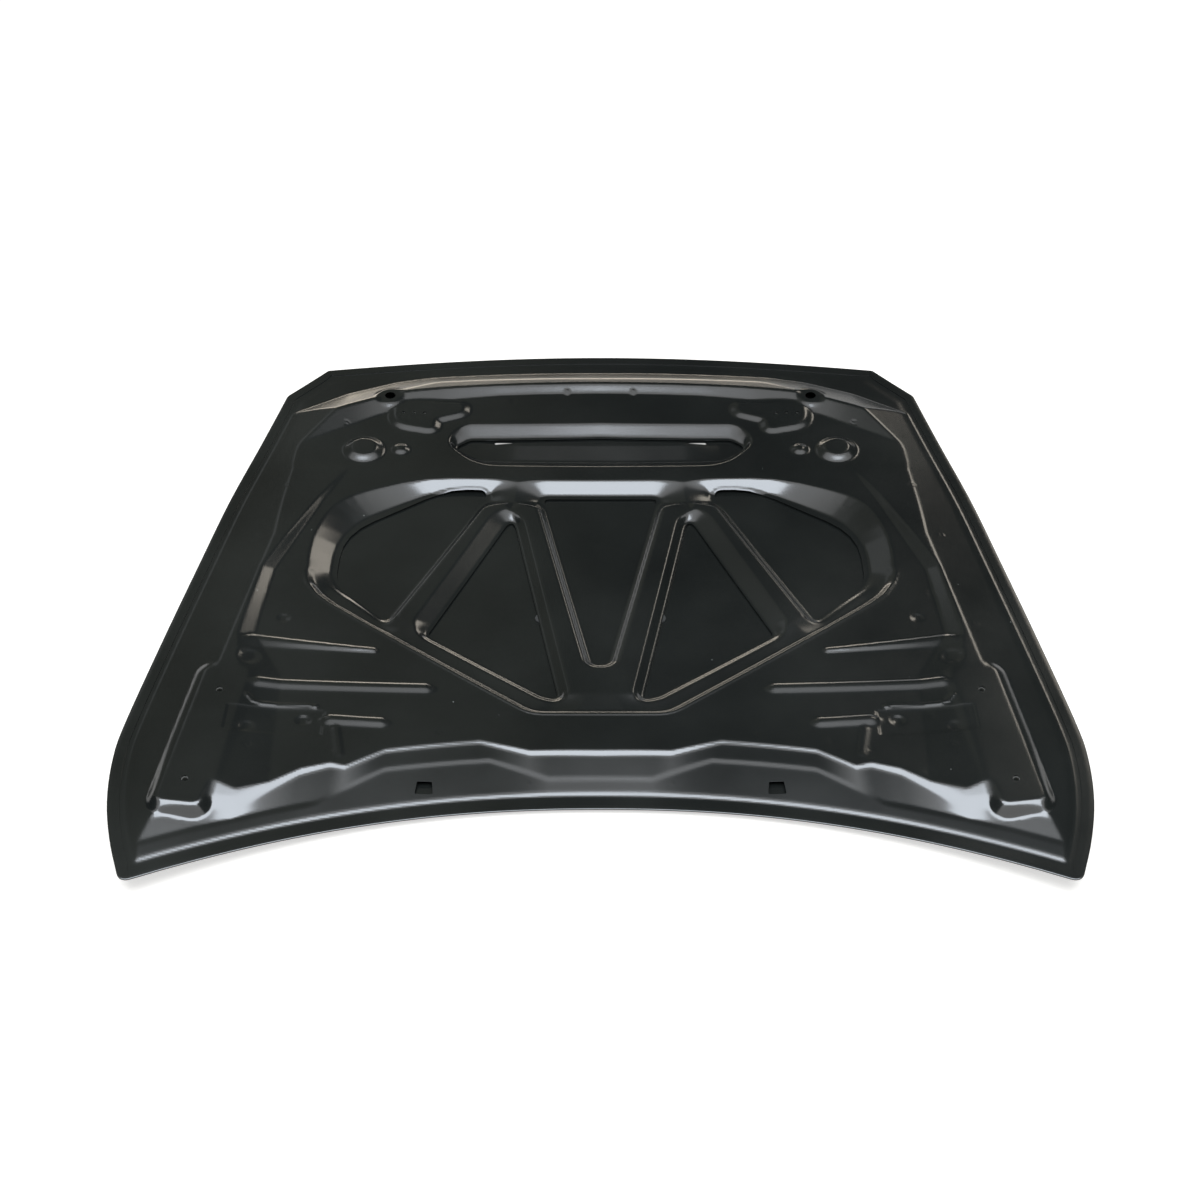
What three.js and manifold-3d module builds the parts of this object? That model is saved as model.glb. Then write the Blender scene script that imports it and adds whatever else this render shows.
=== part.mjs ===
// A car bonnet, lying on its outer skin with the underside up and the rear edge towards -Y.
// Millimetres, +Z up. The origin is under the middle of its box, on the surface it lies on.

import * as THREE from 'three';
import { mergeVertices } from 'three/addons/utils/BufferGeometryUtils.js';
import Module from 'manifold-3d';

const wasm = await Module();
wasm.setup();

// Sheet and clearances
const SKIN_SHEET = 0.8;
const FRAME_SHEET = 0.8;
const PATCH_SHEET = 1.5;
const HEM_GAP = 0.4;
const SEAT_GAP = 0.3;

// Half the width, which the outline's corners are set in from
const HALF_WIDTH = 748;

// Crown of the outer skin: how far its edges rise over the middle that it lies on
const SIDE_RISE = 30;
const FRONT_RISE = 24;
const REAR_RISE = 10;
const CROWN_FRONT = 660;
const CROWN_REAR = 600;
const CROWN_SQUARE_SHARE = 0.6;

// Outline, right half seen from above: distances in from the widest place, and y
const FRONT_Y = 652;
const FRONT_BOW = 55;
const FRONT_CORNER_X = HALF_WIDTH - 212;
const SHOULDER = [HALF_WIDTH - 142, 513];
const SIDE_INSETS = [
  [112, 365], [79, 199], [54, 31], [26, -175], [3, -370], [0, -450], [9, -534], [29, -612],
];
const REAR_CORNER = [HALF_WIDTH - 58, -690];
const REAR_Y = -526;
const REAR_BOW = 164;
const REAR_BOW_POWER = 2.2;
const FRONT_CORNER_RADIUS = 10;
const SHOULDER_RADIUS = 24;
const REAR_CORNER_RADIUS = 16;
const HEM_WIDTH = 18;
const HEM_BEND = 0.3;

// Heights of the inner frame over the skin
const FLANGE_LIFT = 1.1;
const FLANGE_LIFT_WIDTH = 12;
const RIM_LEVEL = 3;
const RIB_LEVEL = 12;
const FRONT_LEVEL = 15;
const PLATEAU_LEVEL = 18;
const RAIL_LEVEL = 26;
const CREST_LEVEL = 26;
const SHELF_LEVEL = 8.5;
const SHELF_FOOT_LEVEL = 2;
const FRONT_BLEND_Y = 280;
const FRONT_BLEND = 60;

// Edge channels of the frame, as distances in from the outline
const SIDE_FLANGE = 27;
const SIDE_RAMP = 86;
const FRONT_FOOT = [[0, 48], [330, 46], [400, 53], [489, 76], [600, 130]];
const FRONT_CREST = [[0, 103], [312, 101], [388, 112], [480, 141], [600, 186]];
const FRONT_FALL = [[0, 127], [196, 128], [273, 133], [358, 147], [422, 168], [476, 194], [600, 252]];
const REAR_FLANGE = 25;
const REAR_FOOT = 11;
const SHELF_LINE = [[0, 61], [80, 61], [172, 102], [332, 103], [430, 60], [600, 61]];
const COWL_LINE = [
  [0, 109], [110, 111], [188, 139], [335, 138], [392, 115], [415, 126], [459, 124], [550, 90], [600, 112],
];

// Depressed middle of the frame, its openings and their ribs
const BASIN = [
  [0, 267, 0], [345, 267, 110], [480, 210, 70], [514, 110, 90],
  [514, -39, 60], [112, -335, 60], [0, -335, 0],
];
const SIDE_OPENING = [[202, 246, 15], [286, 246, 55], [457, 118, 45], [457, -16, 45], [362, -104, 8]];
const REAR_OPENING = [[158, 176, 12], [290, -140, 12], [94, -280, 10], [68, -288, 8]];
const CENTRE_OPENING = [[104, 226, 10], [12, -206, 12], [-12, -206, 12], [-104, 226, 10]];
const RIM_WIDTH = 5;
const RIB_WALL = 16;
const RIB_BLEND = 40;
const BASIN_BAND = 5;
const BASIN_BAND_WIDTH = 40;
const BASIN_STEP = 12;
const BASIN_NEAR_Y = 10;
const BASIN_NEAR_BLEND = 70;

// Air outlet: its recess in the frame, the hole through it and the raised tongue of the skin
const OUTLET_RECESS = [[0, 436, 0], [262, 430, 30], [292, 378, 30], [232, 305, 60], [0, 304, 0]];
const OUTLET_HOLE = [[0, 404, 0], [246, 396, 18], [276, 372, 16], [226, 338, 40], [0, 336, 0]];
const TONGUE_HALF_WIDTH = 226;
const TONGUE_FRONT = 385;
const TONGUE_LENGTH = 42;
const TONGUE_RISE = 7;
const TONGUE_SIDE_RAMP = 26;
const SLIT_HALF_WIDTH = 200;
const SLIT_DEPTH = 9;
const SLIT_CORNER = 4;

// Step between the side rail and the lower middle
const STEP_INSETS = [[240, 200], [201, 96], [166, 0], [155, -104], [150, -160]];
const STEP_LINE = STEP_INSETS.map(([inset, y]) => [HALF_WIDTH - inset, y]);
const STEP_WIDTHS = [7, 10, 18, 22, 26];
const STEP_END_RAMP = 110;

// Raised beads beside the hinges: outer end, inner end, height, half width at each end
const BEADS = [
  [[572, -178], [372, -197], 4, 17, 6],
  [[548, -280], [280, -282], 4, 14, 13],
  [[426, -357], [345, -361], 4, 14, 13],
];
const BEAD_STEEPNESS = 1.6;
const BEAD_TOP = 1 - 1 / BEAD_STEEPNESS;

// Hinge pads, flat faces on the rails
const HINGE_BOLTS = [[HALF_WIDTH - 142, -305], [HALF_WIDTH - 122, -501]];
const HINGE_PAD_HALF_WIDTH = 34;
const HINGE_PAD_END = 48;
const HINGE_PAD_BLEND = 22;
const HINGE_PAD_CORNER = 16;
const BOLT_HOLE_RADIUS = 5.5;

// Striker pads, flat faces with three bolt holes each
const STRIKER_PAD = [
  [262, 486, 16], [392, 486, 24], [392, 424, 24], [316, 408, 22], [316, 440, 10], [262, 462, 12],
];
const STRIKER_PAD_LEVEL = 20;
const STRIKER_PAD_BLEND = 11;
const STRIKER_BOLTS = [[336, 455], [356, 455], [376, 455]];
const STRIKER_HOLE_RADIUS = 3.2;

// Round embossed seat beside each striker pad
const SEAT_CENTRE = [441, 345];
const SEAT_RADIUS = 23;
const SEAT_SLOPE = 16;
const SEAT_LEVEL = 24;

// Where the rails run
const RAIL_FROM_X = HALF_WIDTH - 188;
const RAIL_FROM_Y = -600;
const RAIL_TO_Y = 430;

// Other holes in the frame
const BUFFER_HOLE = [405, 501];
const BUFFER_HOLE_RADIUS = 10;
const BUFFER_PAD_RADIUS = 20;
const BUFFER_PAD_LEVEL = 23;
const BUFFER_PAD_BLEND = 10;
const GRILLE_CLIP_HOLE = [269, -488];
const GRILLE_CLIP_HALF_SIZE = [14, 12];
const GRILLE_CLIP_TAPER = 0.8;
const GRILLE_CLIP_CORNER = 3;

// Weld nuts, patches and mastic dabs
const HINGE_NUT_FLATS = 19;
const HINGE_NUT_HEIGHT = 8;
const HINGE_THREAD_RADIUS = 4.5;
const STRIKER_NUT_FLATS = 11;
const STRIKER_NUT_HEIGHT = 6;
const STRIKER_THREAD_RADIUS = 2.6;
const NUT_CORNER_SHARE = 0.15;
const PATCH_MARGIN = 7;
const MASTIC_RADIUS = 11;
const RIM_DABS = [
  [[332, 240], [478, 62], [425, -62], [326, -52], [222, 132]],
  [[136, 116], [264, -176], [60, -262], [100, -92]],
];

// Spacing of the points that a sheet is meshed with
const STATION_SPACING = 54;
const FINE_SPACING = 38;
const LINE_SPACING = 35;
const FIELD_SPACING = 95;
const CLOSE_SPACING = 20;
const CLEAR_OF_OTHERS = 6;
const CLEAR_OF_BEADS = 3;
const FIELD_CLEAR_SHARE = { skin: 0.55, frame: 0.45 };
const FIELD_MARGIN = 30;
const JUST_OUTSIDE = -0.5;
const IN_THE_HOLE = 6;
const BASIN_CLEAR = 10;
const REAR_RING_DEPTH = 60;
const LINES_TO_X = HALF_WIDTH - 148;
const GUARD_LIMIT = 60;
const PRISM_LOW = -60;
const PRISM_HIGH = 200;
const TINY = 0.001;
const RING_SHARE = 0.9;
const GUARD_SHARE = 0.9;
const LEAST_MITRE = 0.6;
const LEAST_FACING = 0.8;

const lerp = THREE.MathUtils.lerp;
const clamp = THREE.MathUtils.clamp;

// Crown of the skin's lower face at a place
function crown(x, y) {
  const across = Math.abs(x) / HALF_WIDTH;
  const side = SIDE_RISE * lerp(across ** 4, across ** 2, CROWN_SQUARE_SHARE);
  const front = Math.max(y, 0) / CROWN_FRONT;
  const rear = Math.min(y, 0) / CROWN_REAR;
  return side + FRONT_RISE * 0.5 * (front ** 2 + front ** 4) + REAR_RISE * rear ** 2;
}

// Corner points with radii turned into an outline with arcs
function rounded(corners, step = 5) {
  const points = [];
  corners.forEach(([x, y, radius = 0], i) => {
    const here = new THREE.Vector2(x, y);
    if (radius === 0) {
      points.push(here);
      return;
    }
    const before = corners[(i + corners.length - 1) % corners.length];
    const after = corners[(i + 1) % corners.length];
    const back = new THREE.Vector2(before[0] - x, before[1] - y);
    const ahead = new THREE.Vector2(after[0] - x, after[1] - y);
    const half = Math.acos(clamp(back.clone().normalize().dot(ahead.clone().normalize()), -1, 1)) / 2;
    const room = 0.48 * Math.min(back.length(), ahead.length());
    const reach = Math.min(radius / Math.tan(half), room);
    const start = here.clone().addScaledVector(back.normalize(), reach);
    const end = here.clone().addScaledVector(ahead.normalize(), reach);
    const curve = new THREE.QuadraticBezierCurve(start, here, end);
    const turns = Math.max(2, Math.round((Math.PI - 2 * half) / (Math.PI / step)));
    points.push(...curve.getPoints(turns));
  });
  return points;
}

// A closed outline that knows its signed distance, positive inside
class Outline {
  constructor(points) {
    this.points = THREE.ShapeUtils.isClockWise(points) ? points.slice().reverse() : points;
  }

  distance(x, y) {
    let nearest = Infinity;
    let inside = false;
    const count = this.points.length;
    for (let i = 0; i < count; i++) {
      const a = this.points[i];
      const b = this.points[(i + 1) % count];
      const ex = b.x - a.x;
      const ey = b.y - a.y;
      const t = clamp(((x - a.x) * ex + (y - a.y) * ey) / (ex * ex + ey * ey), 0, 1);
      nearest = Math.min(nearest, Math.hypot(x - a.x - t * ex, y - a.y - t * ey));
      if (a.y > y !== b.y > y && x < a.x + ((y - a.y) / ey) * ex) inside = !inside;
    }
    return inside ? nearest : -nearest;
  }

  // Points spread along the outline, each with its inward normal
  stations(spacing) {
    const result = [];
    const count = this.points.length;
    for (let i = 0; i < count; i++) {
      const a = this.points[i];
      const b = this.points[(i + 1) % count];
      const parts = Math.max(1, Math.round(a.distanceTo(b) / spacing));
      for (let k = 0; k < parts; k++) result.push(a.clone().lerp(b, k / parts));
    }
    return result.map((point, i) => {
      const before = result[(i + result.length - 1) % result.length];
      const after = result[(i + 1) % result.length];
      const one = point.clone().sub(before).normalize();
      const two = after.clone().sub(point).normalize();
      const mid = one.clone().add(two).normalize();
      const mitre = 1 / Math.max(LEAST_MITRE, Math.sqrt((1 + one.dot(two)) / 2));
      return { point, inward: new THREE.Vector2(-mid.y, mid.x).multiplyScalar(mitre) };
    });
  }

  // The line at one distance inside, without the places where it would cross itself
  ring(depth, spacing) {
    const moved = this.stations(spacing).map((s) => s.point.clone().addScaledVector(s.inward, depth));
    const least = RING_SHARE * Math.abs(depth);
    return moved.filter((p) => depth === 0 || this.distance(p.x, p.y) * Math.sign(depth) > least);
  }
}

function mirrored(half) {
  const other = half.filter(([x]) => x > 0).map(([x, y, r]) => [-x, y, r]).reverse();
  return half.concat(other);
}

function outlineOfBonnet() {
  const half = [];
  const straightTo = FRONT_CORNER_X - STATION_SPACING / 2;
  for (let x = 0; x < straightTo; x += STATION_SPACING) half.push([x, frontEdge(x), 0]);
  half.push([FRONT_CORNER_X, frontEdge(FRONT_CORNER_X), FRONT_CORNER_RADIUS]);
  half.push([...SHOULDER, SHOULDER_RADIUS]);
  const places = [SHOULDER, ...SIDE_INSETS.map(([inset, y]) => [HALF_WIDTH - inset, y]), REAR_CORNER];
  const side = new THREE.SplineCurve(places.map(([x, y]) => new THREE.Vector2(x, y)));
  const steps = Math.round(side.getLength() / STATION_SPACING);
  side.getSpacedPoints(steps).slice(1, -1).forEach((p) => half.push([p.x, p.y, 0]));
  half.push([...REAR_CORNER, REAR_CORNER_RADIUS]);
  const rearSteps = Math.round(REAR_CORNER[0] / STATION_SPACING);
  for (let i = rearSteps - 1; i >= 0; i--) {
    const x = (REAR_CORNER[0] * i) / rearSteps;
    half.push([x, rearEdge(x), 0]);
  }
  return new Outline(rounded(mirrored(half)));
}

function frontEdge(x) {
  return FRONT_Y - FRONT_BOW * (Math.abs(x) / FRONT_CORNER_X) ** 2;
}

function rearEdge(x) {
  return REAR_Y - REAR_BOW * (Math.abs(x) / REAR_CORNER[0]) ** REAR_BOW_POWER;
}

// How much longer a way straight ahead from the rear edge is than one square to it
function rearStretch(x) {
  return Math.hypot(1, rearEdge(Math.abs(x) + 1) - rearEdge(Math.abs(x)));
}

const outer = outlineOfBonnet();
const basin = new Outline(rounded(mirrored(BASIN)));
const sideOpening = new Outline(rounded(SIDE_OPENING));
const rearOpening = new Outline(rounded(REAR_OPENING));
const centreOpening = new Outline(rounded(CENTRE_OPENING));
const recess = new Outline(rounded(mirrored(OUTLET_RECESS)));
const outletHole = new Outline(rounded(mirrored(OUTLET_HOLE)));
const strikerPad = new Outline(rounded(STRIKER_PAD));
const openings = [sideOpening, rearOpening, centreOpening];

// A line of the pressing given as pairs of place across and distance in from the edge
function lineAt(table, x) {
  const from = Math.abs(x);
  const next = table.findIndex(([at]) => at > from);
  if (next < 0) return table.at(-1)[1];
  const [a, b] = [table[Math.max(next - 1, 0)], table[next]];
  return lerp(a[1], b[1], clamp((from - a[0]) / (b[0] - a[0]), 0, 1));
}

// Side rail's step line as a width and a place across at one y
function stepAt(y) {
  for (let i = 1; i < STEP_LINE.length; i++) {
    if (y >= STEP_LINE[i][1]) {
      const t = clamp((y - STEP_LINE[i][1]) / (STEP_LINE[i - 1][1] - STEP_LINE[i][1]), 0, 1);
      const x = lerp(STEP_LINE[i][0], STEP_LINE[i - 1][0], t);
      return { x, width: lerp(STEP_WIDTHS[i], STEP_WIDTHS[i - 1], t) };
    }
  }
  const last = STEP_LINE.length - 1;
  return { x: STEP_LINE[last][0], width: STEP_WIDTHS[last] };
}

function fromLine(x, y, [ax, ay], [bx, by]) {
  const ex = bx - ax;
  const ey = by - ay;
  const t = clamp(((x - ax) * ex + (y - ay) * ey) / (ex * ex + ey * ey), 0, 1);
  return Math.hypot(x - ax - t * ex, y - ay - t * ey);
}

// Height of the middle of the frame before its edge channels
function middleLevel(x, y) {
  const frontward = clamp((y - FRONT_BLEND_Y) / FRONT_BLEND, 0, 1);
  let level = lerp(PLATEAU_LEVEL, FRONT_LEVEL, frontward);
  const toEdge = basin.distance(x, y);
  if (toEdge > 0) {
    const clears = openings.map((o) => -o.distance(x, y)).sort((a, b) => a - b);
    const pastRim = Math.max(clears[0] - RIM_WIDTH, 0);
    const rib = lerp(RIM_LEVEL, RIB_LEVEL, clamp(pastRim / RIB_WALL, 0, 1));
    const between = clamp((toEdge - clears[1]) / RIB_BLEND + 0.5, 0, 1);
    const slope = lerp(PLATEAU_LEVEL, RIM_LEVEL, toEdge / (toEdge + pastRim + TINY));
    const wide = Math.max(lerp(RIM_LEVEL, rib, between), slope);
    const band = lerp(RIM_LEVEL, RIM_LEVEL + BASIN_BAND, clamp(pastRim / BASIN_BAND_WIDTH, 0, 1));
    const ribEnd = clamp((toEdge - BASIN_STEP) / BASIN_BAND_WIDTH, 0, 1);
    const steep = lerp(PLATEAU_LEVEL, band, clamp(toEdge / BASIN_STEP, 0, 1));
    const near = toEdge < BASIN_STEP ? steep : lerp(band, Math.max(rib, band), ribEnd);
    level = lerp(wide, near, clamp((BASIN_NEAR_Y - y) / BASIN_NEAR_BLEND, 0, 1));
  }
  const inRecess = recess.distance(x, y);
  if (inRecess > 0) {
    const fromHole = Math.max(-outletHole.distance(x, y) - RIM_WIDTH, 0);
    level = lerp(level, RIM_LEVEL, inRecess / (inRecess + fromHole + TINY));
  }
  for (const [start, end, height, outerHalf, innerHalf] of BEADS) {
    const half = lerp(innerHalf, outerHalf, clamp((x - end[0]) / (start[0] - end[0]), 0, 1));
    level += height * clamp(BEAD_STEEPNESS * (1 - fromLine(x, y, start, end) / half), 0, 1);
  }
  const step = stepAt(y);
  const rise = clamp((x - step.x + step.width) / step.width, 0, 1);
  const fade = clamp((STEP_LINE[0][1] + STEP_END_RAMP - y) / STEP_END_RAMP, 0, 1);
  level += (RAIL_LEVEL - PLATEAU_LEVEL) * rise * fade;
  const fromSeat = Math.hypot(x - SEAT_CENTRE[0], y - SEAT_CENTRE[1]) - SEAT_RADIUS;
  return lerp(Math.max(SEAT_LEVEL, level), level, clamp(fromSeat / SEAT_SLOPE, 0, 1));
}

// The flange lies in the hem at its edge and lifts a little off the skin further in
function flangeLevel(aside) {
  return HEM_GAP + FLANGE_LIFT * clamp((aside - SIDE_FLANGE) / FLANGE_LIFT_WIDTH, 0, 1);
}

// Height of the frame over the skin at a place on the right half
function frameLevel(x, y) {
  const ahead = frontEdge(x) - y;
  const aside = outer.distance(x, y);
  const behind = (y - rearEdge(x)) / rearStretch(x);
  const flange = flangeLevel(aside);
  const foot = lineAt(FRONT_FOOT, x);
  const crest = lineAt(FRONT_CREST, x);
  const fall = lineAt(FRONT_FALL, x);
  let level = middleLevel(x, y);
  if (ahead < fall) level = lerp(CREST_LEVEL, level, clamp((ahead - crest) / (fall - crest), 0, 1));
  const frontRise = lerp(flange, CREST_LEVEL, clamp((ahead - foot) / (crest - foot), 0, 1));
  const sideRise = lerp(flange, RAIL_LEVEL, clamp((aside - SIDE_FLANGE) / SIDE_RAMP, 0, 1));
  const shelfStart = REAR_FLANGE + REAR_FOOT;
  const shelfEnd = lineAt(SHELF_LINE, x);
  const wallEnd = lineAt(COWL_LINE, x);
  const step = lerp(flange, SHELF_FOOT_LEVEL, clamp((behind - REAR_FLANGE) / REAR_FOOT, 0, 1));
  const shelf = lerp(step, SHELF_LEVEL, clamp((behind - shelfStart) / (shelfEnd - shelfStart), 0, 1));
  const rearRise = lerp(shelf, PLATEAU_LEVEL, clamp((behind - shelfEnd) / (wallEnd - shelfEnd), 0, 1));
  return Math.min(level, frontRise, sideRise, behind < wallEnd ? rearRise : Infinity);
}

// A flat face through a place, as high as the frame would be there and tilted as the crown is
function facet([x, y], level) {
  const slopeX = crown(x + 0.5, y) - crown(x - 0.5, y);
  const slopeY = crown(x, y + 0.5) - crown(x, y - 0.5);
  const height = crown(x, y) + level;
  return (px, py) => height + slopeX * (px - x) + slopeY * (py - y);
}

const hingeMiddle = [0, 1].map((k) => (HINGE_BOLTS[0][k] + HINGE_BOLTS[1][k]) / 2);
const strikerMiddle = STRIKER_BOLTS[1];
const hingeFacet = facet(hingeMiddle, RAIL_LEVEL + SKIN_SHEET);
const strikerFacet = facet(strikerMiddle, STRIKER_PAD_LEVEL + SKIN_SHEET);
const bufferFacet = facet(BUFFER_HOLE, BUFFER_PAD_LEVEL + SKIN_SHEET);

function hingePadOutline(margin) {
  const along = new THREE.Vector2(...HINGE_BOLTS[1]).sub(new THREE.Vector2(...HINGE_BOLTS[0])).normalize();
  const across = new THREE.Vector2(-along.y, along.x);
  const reach = HINGE_PAD_END - margin;
  const half = HINGE_PAD_HALF_WIDTH - margin;
  const ends = [new THREE.Vector2(...HINGE_BOLTS[0]), new THREE.Vector2(...HINGE_BOLTS[1])];
  const corner = (end, a, b) => {
    const p = end.clone().addScaledVector(along, a).addScaledVector(across, b);
    return [p.x, p.y, HINGE_PAD_CORNER];
  };
  return new Outline(rounded([
    corner(ends[0], -reach, -half), corner(ends[0], -reach, half),
    corner(ends[1], reach, half), corner(ends[1], reach, -half),
  ]));
}

const hingePad = hingePadOutline(0);

// Height of the frame's lower face on the right half
function frameHeight(x, y) {
  const base = crown(x, y) + SKIN_SHEET + frameLevel(x, y);
  const fromHinge = Math.max(-hingePad.distance(x, y), 0);
  const fromStriker = Math.max(-strikerPad.distance(x, y), 0);
  const fromBuffer = Math.max(Math.hypot(x - BUFFER_HOLE[0], y - BUFFER_HOLE[1]) - BUFFER_PAD_RADIUS, 0);
  let height = base;
  height = lerp(hingeFacet(x, y), height, clamp(fromHinge / HINGE_PAD_BLEND, 0, 1));
  height = lerp(strikerFacet(x, y), height, clamp(fromStriker / STRIKER_PAD_BLEND, 0, 1));
  height = lerp(bufferFacet(x, y), height, clamp(fromBuffer / BUFFER_PAD_BLEND, 0, 1));
  return Math.max(height, crown(x, y) + SKIN_SHEET + flangeLevel(outer.distance(x, y)));
}

// Height of the skin's lower face, with the tongue of the air outlet
function skinHeight(x, y) {
  const along = clamp((y - TONGUE_FRONT + TONGUE_LENGTH) / TONGUE_LENGTH, 0, 1);
  const past = clamp((TONGUE_FRONT + SLIT_DEPTH - y) / SLIT_DEPTH, 0, 1);
  const side = clamp((TONGUE_HALF_WIDTH - Math.abs(x)) / TONGUE_SIDE_RAMP, 0, 1);
  return crown(x, y) + TONGUE_RISE * along * past * side;
}

// Delaunay triangles over points in the plane, by adding one point at a time
function delaunay(points) {
  const far = 1e5;
  const all = points.concat([[-far, -far], [far, -far], [0, far]]);
  const count = points.length;
  let triangles = [circled(all, count, count + 1, count + 2)];
  const leftFirst = (a, b) => points[a][0] - points[b][0] || points[a][1] - points[b][1];
  const order = points.map((p, i) => i).sort(leftFirst);
  const done = [];
  for (const i of order) {
    const [x, y] = all[i];
    const edges = new Map();
    const open = [];
    for (const t of triangles) {
      if (x - t.cx > t.r) {
        done.push(t);
        continue;
      }
      if (Math.hypot(x - t.cx, y - t.cy) < t.r - 1e-7) {
        for (const [a, b] of [[t.a, t.b], [t.b, t.c], [t.c, t.a]]) {
          const key = a < b ? `${a} ${b}` : `${b} ${a}`;
          if (edges.has(key)) edges.delete(key);
          else edges.set(key, [a, b]);
        }
      } else {
        open.push(t);
      }
    }
    for (const [a, b] of edges.values()) {
      if (area(all, a, b, i) > 1e-6) open.push(circled(all, a, b, i));
    }
    triangles = open;
  }
  return done.concat(triangles).filter((t) => Math.max(t.a, t.b, t.c) < count).map((t) => [t.a, t.b, t.c]);
}

function area(all, a, b, c) {
  const [ax, ay] = all[a];
  return ((all[b][0] - ax) * (all[c][1] - ay) - (all[c][0] - ax) * (all[b][1] - ay)) / 2;
}

function circled(all, a, b, c) {
  const [ax, ay] = all[a];
  const bx = all[b][0] - ax;
  const by = all[b][1] - ay;
  const cx = all[c][0] - ax;
  const cy = all[c][1] - ay;
  const d = 2 * (bx * cy - by * cx);
  const ux = (cy * (bx * bx + by * by) - by * (cx * cx + cy * cy)) / d;
  const uy = (bx * (cx * cx + cy * cy) - cx * (bx * bx + by * by)) / d;
  return { a, b, c, cx: ax + ux, cy: ay + uy, r: Math.hypot(ux, uy) };
}

// Points on the right half that keep clear of each other and of the lines laid before them
class PointField {
  constructor(clear) {
    this.clear = clear;
    this.points = [];
    this.guards = [];
  }

  add(x, y, clear = this.clear) {
    if (x < -0.01) return;
    const px = x < clear / 2 ? 0 : x;
    if (this.points.some(([a, b]) => Math.hypot(a - px, b - y) < clear)) return;
    if (this.guards.some(([a, b, radius]) => Math.hypot(a - px, b - y) < radius)) return;
    this.points.push([px, y]);
  }

  // A row of points whose links are kept as edges
  addLine(points, clear = this.clear) {
    const links = points.slice(1).map((p, i) => [points[i], p]);
    const crossing = links.filter(([p, q]) => p.x * q.x < 0);
    const middle = crossing.map(([p, q]) => lerp(p.y, q.y, p.x / (p.x - q.x)));
    points.concat(middle.map((y) => new THREE.Vector2(0, y))).forEach((p) => this.add(p.x, p.y, clear));
    for (const [p, q] of links) {
      const half = p.distanceTo(q) / 2;
      const between = [Math.abs(p.x + q.x) / 2, (p.y + q.y) / 2];
      if (half < GUARD_LIMIT) this.guards.push([...between, GUARD_SHARE * half]);
    }
  }

  addRing(outline, depth, spacing, keep = () => true) {
    const ring = outline.ring(depth, spacing).filter((p) => keep(Math.abs(p.x), p.y));
    this.addLine(ring.concat(ring.slice(0, 1)));
  }

  addField(spacing, clear) {
    const across = Math.ceil((HALF_WIDTH + FIELD_MARGIN) / spacing);
    const rear = REAR_CORNER[1] - FIELD_MARGIN;
    const rows = Math.ceil((FRONT_Y + FIELD_MARGIN - rear) / spacing);
    for (let row = 0; row <= rows; row++) {
      for (let i = 0; i <= across; i++) {
        const x = (i + (row % 2) / 2) * spacing;
        const y = rear + row * spacing;
        const px = i === 0 ? 0 : x;
        if (outer.distance(px, y) > -FIELD_MARGIN) this.add(px, y, clear);
      }
    }
  }
}

// Both faces of a sheet over the points of one half and their mirror images, inside a border
function sheet(half, heightAt, thickness, border) {
  const cells = delaunay(half).filter((cell) => {
    const [x, y] = [0, 1].map((k) => (half[cell[0]][k] + half[cell[1]][k] + half[cell[2]][k]) / 3);
    return border.distance(x, y) > 0;
  });
  const index = new Map();
  const plan = [];
  const at = (x, y) => {
    const key = `${x.toFixed(4)} ${y.toFixed(4)}`;
    if (!index.has(key)) {
      index.set(key, plan.length);
      plan.push([x, y]);
    }
    return index.get(key);
  };
  const triangles = [];
  for (const [a, b, c] of cells) {
    const corners = [half[a], half[b], half[c]];
    triangles.push(corners.map(([x, y]) => at(x, y)));
    triangles.push(corners.map(([x, y]) => at(x === 0 ? 0 : -x, y)).reverse());
  }
  const low = plan.map(([x, y]) => new THREE.Vector3(x, y, heightAt(Math.abs(x), y)));
  const normals = low.map(() => new THREE.Vector3());
  const around = low.map(() => []);
  for (const t of triangles) {
    const [a, b, c] = t.map((i) => low[i]);
    const normal = b.clone().sub(a).cross(c.clone().sub(a));
    const size = normal.length();
    normal.normalize();
    t.forEach((i) => {
      normals[i].addScaledVector(normal, size);
      around[i].push(normal);
    });
  }
  const high = low.map((p, i) => {
    const normal = normals[i].normalize();
    const tightest = Math.min(...around[i].map((face) => face.dot(normal)));
    return p.clone().addScaledVector(normal, thickness / Math.max(tightest, LEAST_FACING));
  });
  const borders = new Map();
  for (const [a, b, c] of triangles) {
    for (const [p, q] of [[a, b], [b, c], [c, a]]) {
      if (borders.has(`${q} ${p}`)) borders.delete(`${q} ${p}`);
      else borders.set(`${p} ${q}`, [p, q]);
    }
  }
  const count = plan.length;
  const faces = triangles.flatMap(([a, b, c]) => [[a + count, b + count, c + count], [a, c, b]]);
  return { points: low.concat(high), faces, borders: [...borders.values()], count };
}

// A sheet's edge closed by an upright strip
function closedSheet({ points, faces, borders, count }) {
  const strip = borders.flatMap(([p, q]) => [[p, q, q + count], [p, q + count, p + count]]);
  return solidFrom(points, faces.concat(strip));
}

function solidFrom(points, faces) {
  return new wasm.Manifold(new wasm.Mesh({
    numProp: 3,
    vertProperties: new Float32Array(points.flatMap((p) => [p.x, p.y, p.z])),
    triVerts: new Uint32Array(faces.flat()),
  }));
}

function solidOf(geometry) {
  const bare = geometry.clone();
  bare.deleteAttribute('normal');
  bare.deleteAttribute('uv');
  const merged = mergeVertices(bare, 1e-4);
  return new wasm.Manifold(new wasm.Mesh({
    numProp: 3,
    vertProperties: merged.attributes.position.array,
    triVerts: new Uint32Array(merged.index.array),
  }));
}

// An upright prism over an outline, from one height to another
function prism(points, low = PRISM_LOW, high = PRISM_HIGH) {
  const depth = high - low;
  const geometry = new THREE.ExtrudeGeometry(new THREE.Shape(points), { depth, bevelEnabled: false });
  return solidOf(geometry.translate(0, 0, low));
}

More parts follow.
